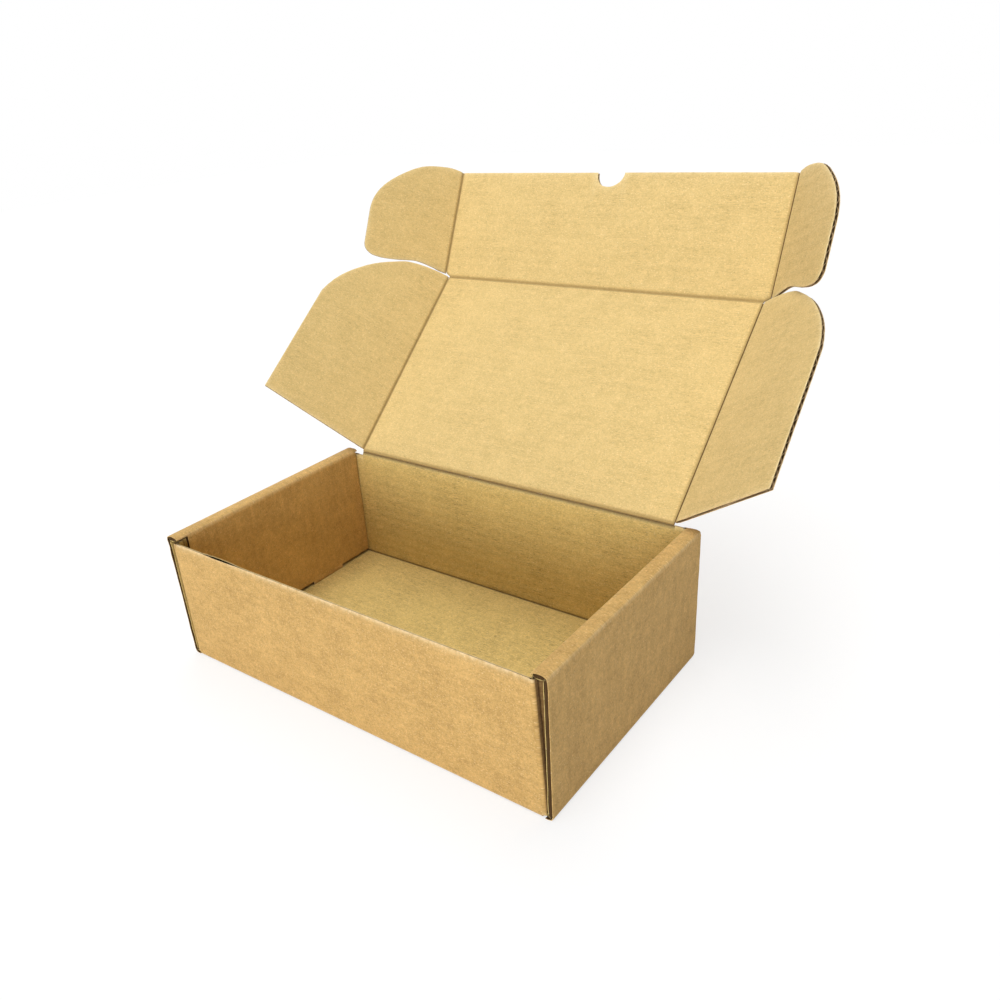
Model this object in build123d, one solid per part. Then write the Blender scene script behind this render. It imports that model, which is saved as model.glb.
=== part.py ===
from build123d import *
import math
import os

os.makedirs("parts", exist_ok=True)

# Frame: millimetres, +X to the right, +Y to the back, +Z up.
# The origin is the centre of the tray's underside and the thumb wall faces -Y.

# Board. Its flutes run along X in the flat blank.
BOARD = 2.9
HALF = BOARD / 2
LINER = 0.5
MEDIUM = 0.45
FLUTE_PITCH = 6.4
CREST_FLAT = 1.1
FLUTE_FOOT = 3.0
FLUTE_INSET = 4.0
FOLD_RADIUS = 1.2
GROOVE_DEPTH = 1.4

# Clearances between plies that lie against each other, and at the creases.
PLY_GAP = 0.5
CREASE_GAP = 0.3
SLOT_GAP = 0.4
SETBACK = HALF + CREASE_GAP

# Tray
LENGTH = 270.0
DEPTH = 159.0
SIDE_HEIGHT = 84.5
FRONT_HEIGHT = 80.0
REAR_END_HEIGHT = 80.6
SIDE_FRONT_SETBACK = 0.6
SIDE_REAR_SETBACK = 1.8
RIDGE_WIDTH = 3 * BOARD + 2 * PLY_GAP
INNER_WALL_RISE = 2.1
INNER_WALL_FRONT_SETBACK = 5.6
INNER_WALL_REAR_SETBACK = 0.8
LEFT_END_TAPER = 1.0
RIGHT_END_TAPER = 4.1
DUST_BEND = 7.5
DUST_LENGTH = 52.0
TAB_LENGTH = 29.0
TAB_CENTRE = 33.0

# Lid, measured between the creases
LID_ANGLE = 40.9
HINGE_HEIGHT = 84.5
LID_LENGTH = 149.4
LID_WIDTH = 239.4

# Side flaps of the lid
SIDE_FLAP_WIDTH = 80.4
LEFT_FLAP_FOLD = 46.0
RIGHT_FLAP_FOLD = 41.4
FLAP_END_GAP = 1.9
FLAP_ROOT_GAP = 1.0
FLAP_REAR_RISE = 9.0

# Tuck flap and its ears
TUCK_FOLD = 24.7
TUCK_LENGTH = 74.6
TUCK_RELIEF = 2.4
EAR_SPACING = 247.0
LEFT_EAR_FOLD = 49.0
RIGHT_EAR_FOLD = 51.0
EAR_WIDTH = 63.2
EAR_CROWN = 1.2
NOTCH_WIDTH = 20.0
NOTCH_DEPTH = 9.0

# Derived positions
OUTER_X = LENGTH / 2
DUST_OUTER_X = OUTER_X - BOARD - PLY_GAP
DUST_INNER_X = DUST_OUTER_X - BOARD
INNER_FACE_X = OUTER_X - RIDGE_WIDTH
FRONT_Y = -DEPTH / 2
REAR_Y = DEPTH / 2
SIDE_FRONT_Y = FRONT_Y + SIDE_FRONT_SETBACK
SIDE_REAR_Y = REAR_Y - SIDE_REAR_SETBACK
HINGE_Y = REAR_Y - HALF


def block(low, high):
    """Box between two opposite corners."""
    size = [high[i] - low[i] for i in range(3)]
    middle = [(high[i] + low[i]) / 2 for i in range(3)]
    return Pos(*middle) * Box(*size)


def edges_at(solid, axis, **coords):
    """Edges parallel to an axis whose centres have the given coordinates."""
    found = []
    for edge in solid.edges().filter_by(axis):
        middle = edge.center()
        if all(abs(getattr(middle, name) - value) < 0.01 for name, value in coords.items()):
            found.append(edge)
    return found


# Tray

def floor_panel():
    """Floor with the slots that the inner walls' tabs drop into."""
    middle = block((-DUST_OUTER_X, FRONT_Y, 0), (DUST_OUTER_X, REAR_Y, BOARD))
    sides = block((-OUTER_X + BOARD, SIDE_FRONT_Y, 0), (OUTER_X - BOARD, SIDE_REAR_Y, BOARD))
    return middle + sides


def tab_slots():
    """Tools that open the four slots in the floor."""
    tools = []
    for side in (-1, 1):
        for row in (-1, 1):
            centre = (side * (INNER_FACE_X + HALF), row * TAB_CENTRE, HALF)
            size = (BOARD + 2 * SLOT_GAP, TAB_LENGTH + 2 * SLOT_GAP, 2 * BOARD)
            tools.append(Pos(*centre) * Box(*size))
    return tools


def rolled_side():
    """Right side: outer wall, ridge and inner wall with its two tabs, in one folded strip."""
    inner_back = INNER_FACE_X + BOARD
    wall_front = FRONT_Y + BOARD + INNER_WALL_FRONT_SETBACK
    wall_rear = REAR_Y - BOARD - INNER_WALL_REAR_SETBACK
    ridge_under = SIDE_HEIGHT - BOARD
    foot = OUTER_X - 2 * BOARD
    strip = block((foot, SIDE_FRONT_Y, 0), (OUTER_X, SIDE_REAR_Y, BOARD))
    strip += block((OUTER_X - BOARD, SIDE_FRONT_Y, 0), (OUTER_X, SIDE_REAR_Y, SIDE_HEIGHT))
    strip += block((INNER_FACE_X, SIDE_FRONT_Y, ridge_under), (OUTER_X, SIDE_REAR_Y, SIDE_HEIGHT))
    folds = edges_at(strip, Axis.Y, X=OUTER_X, Z=0)
    folds += edges_at(strip, Axis.Y, X=OUTER_X, Z=SIDE_HEIGHT)
    folds += edges_at(strip, Axis.Y, X=INNER_FACE_X, Z=SIDE_HEIGHT)
    strip = fillet(folds, FOLD_RADIUS)
    top = ridge_under + FOLD_RADIUS
    wall = block((INNER_FACE_X, wall_front, BOARD + INNER_WALL_RISE), (inner_back, wall_rear, top))
    for row in (-1, 1):
        start = row * TAB_CENTRE - TAB_LENGTH / 2
        tab_top = BOARD + INNER_WALL_RISE + 1
        wall += block((INNER_FACE_X, start, SLOT_GAP), (inner_back, start + TAB_LENGTH, tab_top))
    strip = strip + wall
    groove = BOARD - 2 * LINER
    middle = OUTER_X - HALF
    front_groove = block(
        (middle - groove / 2, SIDE_FRONT_Y - 1, BOARD + 1),
        (middle + groove / 2, SIDE_FRONT_Y + GROOVE_DEPTH, ridge_under),
    )
    rear_groove = block(
        (middle - groove / 2, SIDE_REAR_Y - GROOVE_DEPTH, BOARD + 1),
        (middle + groove / 2, SIDE_REAR_Y + 1, ridge_under),
    )
    return strip - [front_groove, rear_groove]


def end_corner(taper):
    """Plan points of the right dust flap and corner, for a panel end pulled in by the taper."""
    end_x = DUST_OUTER_X - taper
    run = math.hypot(taper, DUST_BEND)
    across = BOARD * DUST_BEND / run
    along = BOARD * taper / run
    slope = taper / DUST_BEND
    inner_x = end_x - across + slope * (BOARD - along)
    bend_inner = along + (DUST_INNER_X - (end_x - across)) / slope if taper else DUST_BEND
    outside = [(end_x, 0), (DUST_OUTER_X, DUST_BEND), (DUST_OUTER_X, DUST_LENGTH)]
    inside = [(DUST_INNER_X, DUST_LENGTH), (DUST_INNER_X, bend_inner), (inner_x, BOARD)]
    return outside + inside


def end_outline(left_taper, right_taper, height):
    """Plan outline of an end wall and its two dust flaps at one height, wall face on y = 0."""
    right = end_corner(right_taper)
    left = [(-x, y) for x, y in reversed(end_corner(left_taper))]
    points = right + left
    return Polyline(*[(x, y, height) for x, y in points], close=True)


def end_strip(left_taper, right_taper, height):
    """End wall with both dust flaps folded back, narrowing a little to the top."""
    low = make_face(end_outline(0.001, 0.001, 0))
    high = make_face(end_outline(left_taper, right_taper, height))
    strip = loft([low, high], ruled=True)
    gap = BOARD + PLY_GAP
    under = block((-OUTER_X, BOARD + PLY_GAP, -1), (OUTER_X, DUST_LENGTH + 1, gap))
    return strip - under


def front_wall():
    """Front wall, with the cut liners and flute groove along its top edge."""
    strip = Pos(0, FRONT_Y, 0) * end_strip(LEFT_END_TAPER, RIGHT_END_TAPER, FRONT_HEIGHT)
    inset = RIGHT_END_TAPER + BOARD
    groove = block(
        (-DUST_OUTER_X + inset, FRONT_Y + LINER, FRONT_HEIGHT - GROOVE_DEPTH),
        (DUST_OUTER_X - inset, FRONT_Y + BOARD - LINER, FRONT_HEIGHT + 1),
    )
    return strip - groove


def rear_wall():
    """Rear wall: lower ends pass under the ridges, and the middle rises to the lid's crease."""
    strip = end_strip(LEFT_END_TAPER / 2, LEFT_END_TAPER / 2, REAR_END_HEIGHT)
    strip = Pos(0, REAR_Y, 0) * Rot(0, 0, 180) * strip
    half_width = LID_WIDTH / 2
    rise = block(
        (-half_width, REAR_Y - BOARD, REAR_END_HEIGHT - 1),
        (half_width, REAR_Y, HINGE_HEIGHT - SETBACK),
    )
    return strip + rise


def tray():
    """Tray with its locked side walls, as one folded piece."""
    body = floor_panel() + front_wall() + rear_wall()
    folds = edges_at(body, Axis.X, Y=FRONT_Y, Z=0) + edges_at(body, Axis.X, Y=REAR_Y, Z=0)
    body = fillet(folds, FOLD_RADIUS)
    body = body - tab_slots()
    right = rolled_side()
    left = mirror(right, about=Plane.YZ)
    return body + right + left


# Flaps. Each is drawn flat: x across the box, y away from the lid's hinge, z to the inner face.

def rounded_root(start, end, along):
    """Half-round edge that turns in a crease, from start to end along the crease."""
    length = math.dist(start, end)
    middle = ((start[0] + end[0]) / 2, (start[1] + end[1]) / 2, 0)
    turn = Rot(0, 90, 0) if along == "x" else Rot(90, 0, 0)
    return Pos(*middle) * turn * Cylinder(HALF, length)


def flute_cells(first, last, reach, side):
    """Air cells of the flutes between two y positions, from near the crease to the reach."""
    half_pitch = FLUTE_PITCH / 2
    top = HALF - LINER
    wide = (half_pitch * 2 - CREST_FLAT) / 2
    narrow = FLUTE_FOOT / 2
    cells = []
    for k in range(int((last - first) / half_pitch) + 1):
        sign = 1 if k % 2 == 0 else -1
        y = first + k * half_pitch
        base = sign * top
        tip = -sign * (top - MEDIUM)
        outline = Polyline(
            (y - wide, base), (y + wide, base), (y + narrow, tip), (y - narrow, tip), close=True
        )
        cell = extrude(make_face(Plane.YZ * outline), reach, dir=(1, 0, 0))
        start = FLUTE_INSET if side > 0 else -reach - FLUTE_INSET
        cells.append(Pos(start, 0, 0) * cell)
    return cells


def lid_panel():
    """Lid panel between its four creases."""
    half_width = LID_WIDTH / 2 - SETBACK
    plate = block((-half_width, 0, -HALF), (half_width, LID_LENGTH - SETBACK, HALF))
    return plate + rounded_root((-half_width, 0), (half_width, 0), "x")


def side_flap(side):
    """Side flap of the lid, with straight rear and outer edges and a large front curve."""
    front = LID_LENGTH - FLAP_END_GAP
    width = SIDE_FLAP_WIDTH
    shoulder = (side * width * 0.955, LID_LENGTH * 0.608)
    crown = (side * width * 0.103, front)
    curve = Spline(
        shoulder,
        (side * width * 0.865, LID_LENGTH * 0.728),
        (side * width * 0.652, LID_LENGTH * 0.865),
        (side * width * 0.387, LID_LENGTH * 0.959),
        crown,
        tangents=[(side * -0.06, 1.0), (side * -1.0, 0.0)],
    )
    outline = Polyline(
        crown,
        (0, front),
        (0, FLAP_ROOT_GAP),
        (side * width, FLAP_REAR_RISE),
        shoulder,
    )
    plate = extrude(make_face([curve, outline]), HALF, both=True)
    cells = flute_cells(LID_LENGTH * 0.087, LID_LENGTH * 0.932, width, side)
    plate = plate - cells
    return plate + rounded_root((0, FLAP_ROOT_GAP), (0, front), "y")


def notch_tool():
    """Half-moon thumb notch, a little steeper on its left."""
    half_width = NOTCH_WIDTH / 2
    edge = Line((-half_width, 0), (half_width, 0))
    curve = Spline(
        (-half_width, 0),
        (-half_width * 0.7, -NOTCH_DEPTH * 0.8),
        (0, -NOTCH_DEPTH),
        (half_width * 0.65, -NOTCH_DEPTH * 0.7),
        (half_width, 0),
    )
    tool = extrude(make_face([edge, curve]), BOARD, both=True)
    over = block((-half_width, -0.01, -BOARD), (half_width, 2, BOARD))
    return tool + over


def tuck_panel():
    """Tuck flap with relieved lower corners, a thumb notch and an open flute along its free edge."""
    half_width = EAR_SPACING / 2 - SETBACK
    root = LID_WIDTH / 2 - SETBACK
    outline = Polyline(
        (-root, 0),
        (root, 0),
        (half_width, TUCK_RELIEF),
        (half_width, TUCK_LENGTH),
        (-half_width, TUCK_LENGTH),
        (-half_width, TUCK_RELIEF),
        close=True,
    )
    plate = extrude(make_face(outline), HALF, both=True)
    plate += rounded_root((-root, 0), (root, 0), "x")
    groove_z = HALF - LINER
    groove = block(
        (-half_width + 2, TUCK_LENGTH - GROOVE_DEPTH, -groove_z),
        (half_width - 2, TUCK_LENGTH + 1, groove_z),
    )
    plate = plate - groove
    return plate - Pos(0, TUCK_LENGTH, 0) * notch_tool()


def ear(side):
    """Ear of the tuck flap, rounded at its free corner and relieved beside the side flap."""
    width = EAR_WIDTH
    height = TUCK_LENGTH
    curve = Spline(
        (side * width, height * 0.475),
        (side * width * 0.903, height * 0.699),
        (side * width * 0.694, height * 0.858),
        (side * width * 0.452, height * 0.976),
        (side * width * 0.161, height + EAR_CROWN),
        (0, height),
        tangents=[(0.0, 1.0), (side * -1.0, -0.14)],
    )
    lower = Spline(
        (0, height * 0.045),
        (side * width * 0.161, height * 0.066),
        (side * width * 0.371, height * 0.087),
        (side * width * 0.613, height * 0.055),
        (side * width * 0.871, height * 0.045),
        (side * width, height * 0.145),
        tangents=[(side * 1.0, 0.2), (0.0, 1.0)],
    )
    outer = Line((side * width, height * 0.145), (side * width, height * 0.475))
    root = Line((0, height * 0.045), (0, height))
    plate = extrude(make_face([curve, lower, outer, root]), HALF, both=True)
    cells = flute_cells(height * 0.145, height * 0.95, width * 1.16, side)
    plate = plate - cells
    return plate + rounded_root((0, height * 0.045), (0, height), "y")


# Placing. A crease turns a flap about its own edge, inward for a positive angle.

def lid_place():
    """Place of the lid's flat frame at the photographed opening."""
    return Pos(0, HINGE_Y, HINGE_HEIGHT) * Rot(LID_ANGLE, 0, 0)


def tuck_place():
    """Place of the tuck flap's flat frame."""
    return lid_place() * Pos(0, LID_LENGTH, 0) * Rot(TUCK_FOLD, 0, 0)


def side_place(base, spacing, side, fold):
    """Place of a side flap or an ear on its base panel."""
    return base * Pos(side * spacing / 2, 0, 0) * Rot(0, -side * fold, 0)


NODES = {
    "tray": tray(),
    "lid": lid_place() * lid_panel(),
    "lid_left_flap": side_place(lid_place(), LID_WIDTH, -1, LEFT_FLAP_FOLD) * side_flap(-1),
    "lid_right_flap": side_place(lid_place(), LID_WIDTH, 1, RIGHT_FLAP_FOLD) * side_flap(1),
    "tuck_flap": tuck_place() * tuck_panel(),
    "left_ear": side_place(tuck_place(), EAR_SPACING, -1, LEFT_EAR_FOLD) * ear(-1),
    "right_ear": side_place(tuck_place(), EAR_SPACING, 1, RIGHT_EAR_FOLD) * ear(1),
}

for name, shape in NODES.items():
    shape.label = name
    export_step(shape, f"parts/{name}.step")
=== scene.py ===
"""Looks of a corrugated mailer box with its lid open.

Every panel is built as real board: two liners, with a fluted medium between them where a cut
edge shows it, crushed where it is creased and a little pinched where it is cut. Sizes are
millimetres until a mesh is made.
"""

from __future__ import annotations

import bisect
import logging
import math
from dataclasses import dataclass, field
from enum import Enum
from typing import Callable, Sequence

import bmesh
import bpy
from mathutils import Matrix, Vector, noise

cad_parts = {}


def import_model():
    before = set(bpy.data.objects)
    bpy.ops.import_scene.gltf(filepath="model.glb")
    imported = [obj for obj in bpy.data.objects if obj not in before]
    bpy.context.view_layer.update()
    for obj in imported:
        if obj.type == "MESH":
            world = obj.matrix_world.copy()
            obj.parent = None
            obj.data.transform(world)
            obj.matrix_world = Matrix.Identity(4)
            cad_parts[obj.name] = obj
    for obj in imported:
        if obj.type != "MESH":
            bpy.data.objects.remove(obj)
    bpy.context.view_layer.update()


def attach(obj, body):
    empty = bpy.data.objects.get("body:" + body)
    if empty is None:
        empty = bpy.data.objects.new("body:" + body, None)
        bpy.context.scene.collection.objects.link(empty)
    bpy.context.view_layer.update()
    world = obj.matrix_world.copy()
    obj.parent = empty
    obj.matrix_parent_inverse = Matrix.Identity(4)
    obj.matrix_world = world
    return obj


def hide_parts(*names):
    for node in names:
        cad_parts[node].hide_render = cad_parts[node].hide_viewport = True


log = logging.getLogger("mailer_box")

# One millimetre in metres, and a distance that stands for no edge nearby.
MM = 0.001
FAR = 1e3

Span = tuple[float, float]
Surface = Callable[[float, float], tuple[Vector, Vector]]
Edge1D = Callable[[float], float]
Colour = tuple[float, float, float]
Socket = bpy.types.NodeSocket


@dataclass(frozen=True)
class BoardStock:
    """Single wall board, in millimetres."""

    thickness: float = 2.9
    liner: float = 0.36
    medium: float = 0.32
    pitch: float = 6.4
    crease: float = 1.5
    shoulder: float = 2.1
    pinch: float = 0.28
    pinch_reach: float = 0.7
    least_inner: float = 0.12
    least_outer: float = 0.42
    worn_reach: float = 1.1
    crease_shade: float = 0.95
    # Share of the crease mark, which is crease colour and painted shade, on the outer face.
    outer_crease_shade: float = 0.6
    flute_steps: int = 12

    @property
    def half(self) -> float:
        """Half of the board's thickness."""
        return self.thickness / 2


BOARD = BoardStock()


@dataclass(frozen=True)
class BoxSizes:
    """Sizes that the panels share with the solids, in millimetres and degrees."""

    length: float = 270.0
    depth: float = 159.0
    side_height: float = 84.5
    front_height: float = 80.0
    rear_end_height: float = 80.6
    side_front_setback: float = 0.6
    side_rear_setback: float = 1.8
    ply_gap: float = 0.5
    slot_gap: float = 0.4
    inner_wall_rise: float = 2.1
    inner_wall_front_setback: float = 5.6
    inner_wall_rear_setback: float = 0.8
    left_end_taper: float = 1.0
    right_end_taper: float = 4.1
    dust_length: float = 52.0
    tab_length: float = 29.0
    tab_centre: float = 33.0
    lid_angle: float = 40.9
    hinge_height: float = 84.5
    lid_length: float = 149.4
    lid_width: float = 239.4
    flap_width: float = 80.4
    left_flap_fold: float = 46.0
    right_flap_fold: float = 41.4
    flap_end_gap: float = 1.9
    flap_root_gap: float = 1.0
    flap_rear_rise: float = 9.0
    tuck_fold: float = 24.7
    tuck_length: float = 74.6
    tuck_relief: float = 2.4
    ear_spacing: float = 247.0
    left_ear_fold: float = 49.0
    right_ear_fold: float = 51.0
    ear_width: float = 63.2
    ear_crown: float = 1.2
    notch_width: float = 20.0
    notch_depth: float = 9.0


@dataclass(frozen=True)
class SquareFold:
    """How the board gives way beside a square fold, and where painted shade lies along it, in
    millimetres and shares.
    """

    radius: float = 0.3
    crushed: float = 0.16
    recovery: float = 0.88
    flattened: float = 0.32
    flattened_reach: float = 1.5
    shade_start: float = 1.2
    shade_reach: float = 2.0
    outer_shade: float = 0.12
    outer_wear: float = 0.30


@dataclass(frozen=True)
class RollStock:
    """The crushed roll of board in a crease between two moving panels."""

    radius: float = BOARD.crease / 2
    play: float = 0.26
    sides: int = 14
    step: float = 12.0
    grain: float = 0.4


BOX = BoxSizes()
FOLD = SquareFold()
ROLL = RollStock()
CRADLE = ROLL.radius + ROLL.play

# Distances from a fold, a crease and a cut edge at which a mesh gets a row or column.
BEND_MARKS = (0.0, 0.12, 0.24, 0.45, 0.75, 1.1, 1.5, 2.0, 3.0)
CREASE_MARKS = (0.3, 0.6, 1.0, 1.4, 1.9, 2.6, 4.0)
EDGE_MARKS = (0.0, 0.35, 0.8, 1.4, 2.2, 3.4)


class Side(Enum):
    """Side of the box, as seen from its front."""

    LEFT = -1
    RIGHT = 1

    @property
    def word(self) -> str:
        """Name of the side in piece names."""
        return self.name.lower()


class Rim(Enum):
    """What a panel's edge is."""

    CUT = "cut"
    CREASE = "crease"
    JOINED = "joined"


class Paper(Enum):
    """Material slots of a board mesh."""

    OUTER = 0
    INNER = 1
    MEDIUM = 2


def smooth(value: float) -> float:
    """Smooth step from 0 to 1.

    Args:
        value: Any number; it is held between 0 and 1.

    Returns:
        The eased value.
    """
    held = min(1.0, max(0.0, value))
    return held * held * (3.0 - 2.0 * held)


def spread(start: float, end: float, step: float) -> list[float]:
    """Evenly spaced values that include both ends."""
    count = max(1, math.ceil((end - start) / step))
    return [start + (end - start) * k / count for k in range(count + 1)]


def merged(values: Sequence[float], least: float = 0.004) -> list[float]:
    """Sorted values without near repeats.

    Args:
        values: Stations in any order.
        least: Smallest step that is kept.

    Returns:
        The sorted stations.
    """
    kept: list[float] = []
    for value in sorted(values):
        if not kept or value - kept[-1] > least:
            kept.append(value)
    return kept


def beside(edge: float, sign: int = 1) -> list[float]:
    """Columns that follow the board down into a crease on one side of it."""
    return [edge + sign * mark for mark in CREASE_MARKS]


def curve_height(points: Sequence[Span], x: float) -> float:
    """Height of a smooth curve through points, by monotone cubic pieces.

    Args:
        points: The curve's points, in rising x.
        x: Where it is read.

    Returns:
        The height at x.
    """
    xs = [p[0] for p in points]
    ys = [p[1] for p in points]
    if x <= xs[0]:
        return ys[0]
    if x >= xs[-1]:
        return ys[-1]
    slopes = [(ys[k + 1] - ys[k]) / (xs[k + 1] - xs[k]) for k in range(len(xs) - 1)]
    tangents = [slopes[0]]
    for a, b in zip(slopes, slopes[1:]):
        tangents.append(0.0 if a * b <= 0 else 2 * a * b / (a + b))
    tangents.append(slopes[-1])
    k = min(bisect.bisect_right(xs, x) - 1, len(slopes) - 1)
    run = xs[k + 1] - xs[k]
    t = (x - xs[k]) / run
    first = (2 * t**3 - 3 * t**2 + 1) * ys[k] + (t**3 - 2 * t**2 + t) * run * tangents[k]
    second = (3 * t**2 - 2 * t**3) * ys[k + 1] + (t**3 - t**2) * run * tangents[k + 1]
    return first + second


class FoldPath:
    """Middle line of a folded strip: straight runs joined by small round bends."""

    def __init__(self, corners: Sequence[Span], radius: float, inside: int) -> None:
        """Lays out the runs and bends.

        Args:
            corners: Corner points in the plane of the section.
            radius: Radius of the board's middle at a bend.
            inside: 1 when the inner liner is on the left of the path, -1 on the right.
        """
        self.inside = inside
        self.parts: list[tuple[float, float, Vector, float, float]] = []
        self.bends: list[float] = []
        points = [Vector(c) for c in corners]
        start = points[0]
        travelled = 0.0
        for k in range(1, len(points)):
            heading = (points[k] - points[k - 1]).normalized()
            angle = math.atan2(heading.y, heading.x)
            end = points[k]
            turn = 0.0
            if k < len(points) - 1:
                after = (points[k + 1] - points[k]).normalized()
                turn = math.atan2(heading.cross(after), heading.dot(after))
                end = points[k] - heading * (radius * math.tan(abs(turn) / 2))
            run = (end - start).length
            self.parts.append((travelled, run, start.copy(), angle, 0.0))
            travelled += run
            if turn:
                arc = radius * abs(turn)
                self.parts.append((travelled, arc, end.copy(), angle, turn))
                self.bends.append(travelled + arc / 2)
                travelled += arc
                after = Vector((math.cos(angle + turn), math.sin(angle + turn)))
                start = points[k] + after * (radius * math.tan(abs(turn) / 2))
        self.total = travelled

    def at(self, station: float) -> tuple[Vector, Vector]:
        """Point and inward normal of the middle line.

        Args:
            station: Distance along the path.

        Returns:
            The point and the unit normal towards the inner liner.
        """
        held = min(max(station, 0.0), self.total)
        part = self.parts[0]
        for candidate in self.parts:
            if candidate[0] <= held + 1e-9:
                part = candidate
        begin, run, origin, angle, turn = part
        along = held - begin
        if not turn:
            point = origin + Vector((math.cos(angle), math.sin(angle))) * along
            heading = angle
        else:
            radius = run / abs(turn)
            sign = math.copysign(1.0, turn)
            heading = angle + turn * along / run
            left = Vector((-math.sin(angle), math.cos(angle)))
            now = Vector((-math.sin(heading), math.cos(heading)))
            point = origin + left * (sign * radius) - now * (sign * radius)
        normal = Vector((-math.sin(heading), math.cos(heading))) * self.inside
        return point, normal

    def stations(self, step: float) -> list[float]:
        """Stations that follow the runs coarsely and the bends closely.

        Args:
            step: Longest step on a straight run.

        Returns:
            The stations, in order.
        """
        marks: list[float] = []
        for begin, run, _origin, _angle, turn in self.parts:
            marks += spread(begin, begin + run, run / 6 if turn else step)
        for bend in self.bends:
            marks += [bend + sign * d for d in BEND_MARKS for sign in (-1, 1)]
        return merged([m for m in marks if 0 <= m <= self.total], 0.05)

    def part_station(self, share: float) -> float:
        """Station at a place counted in parts, so that every height has the same columns.

        Args:
            share: Number of whole parts passed, and the share of the next one.

        Returns:
            The distance along the path.
        """
        index = min(int(share), len(self.parts) - 1)
        begin, run = self.parts[index][0], self.parts[index][1]
        return begin + run * (share - index)

    def bend_distance(self, station: float) -> float:
        """Distance along the path to the nearest bend's middle."""
        return min((abs(station - bend) for bend in self.bends), default=FAR)


@dataclass(frozen=True)
class FoldState:
    """Half thicknesses of the board at a point, and how its two faces are marked: crease colour
    with painted shade, and wear.
    """

    inner: float
    outer: float
    inner_crease_shade: float = 0.0
    outer_crease_shade: float = 0.0
    inner_wear: float = 0.0
    outer_wear: float = 0.0

    def marks(self, face: int) -> Span:
        """Crease marks, which carry painted shade, and wear marks of a face.

        Args:
            face: 1 for the inner liner, -1 for the outer one, 0 for the medium.

        Returns:
            How strongly crease colour and painted shade lie on it, and how worn it is, from 0 to 1.
        """
        if face < 0:
            return self.outer_crease_shade, self.outer_wear
        return self.inner_crease_shade, self.inner_wear


def bent(gap: float) -> FoldState:
    """State of the board beside a square fold: bunched up and darkened with painted shade inside,
    full and rubbed outside, with a little painted shade there too.

    Args:
        gap: Distance along the board to the middle of the fold.

    Returns:
        The state of the board there.
    """
    inner = min(BOARD.half, FOLD.crushed + FOLD.recovery * gap)
    near = 1.0 - smooth(gap / FOLD.flattened_reach)
    outer = BOARD.half - FOLD.flattened * near
    # Painted shade along the inside of the fold; with the outside's share it goes into the crease
    # marks.
    shade = 1.0 - smooth((gap - FOLD.shade_start) / FOLD.shade_reach)
    return FoldState(inner, outer, shade, FOLD.outer_shade * near, 0.0, FOLD.outer_wear * near)


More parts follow.
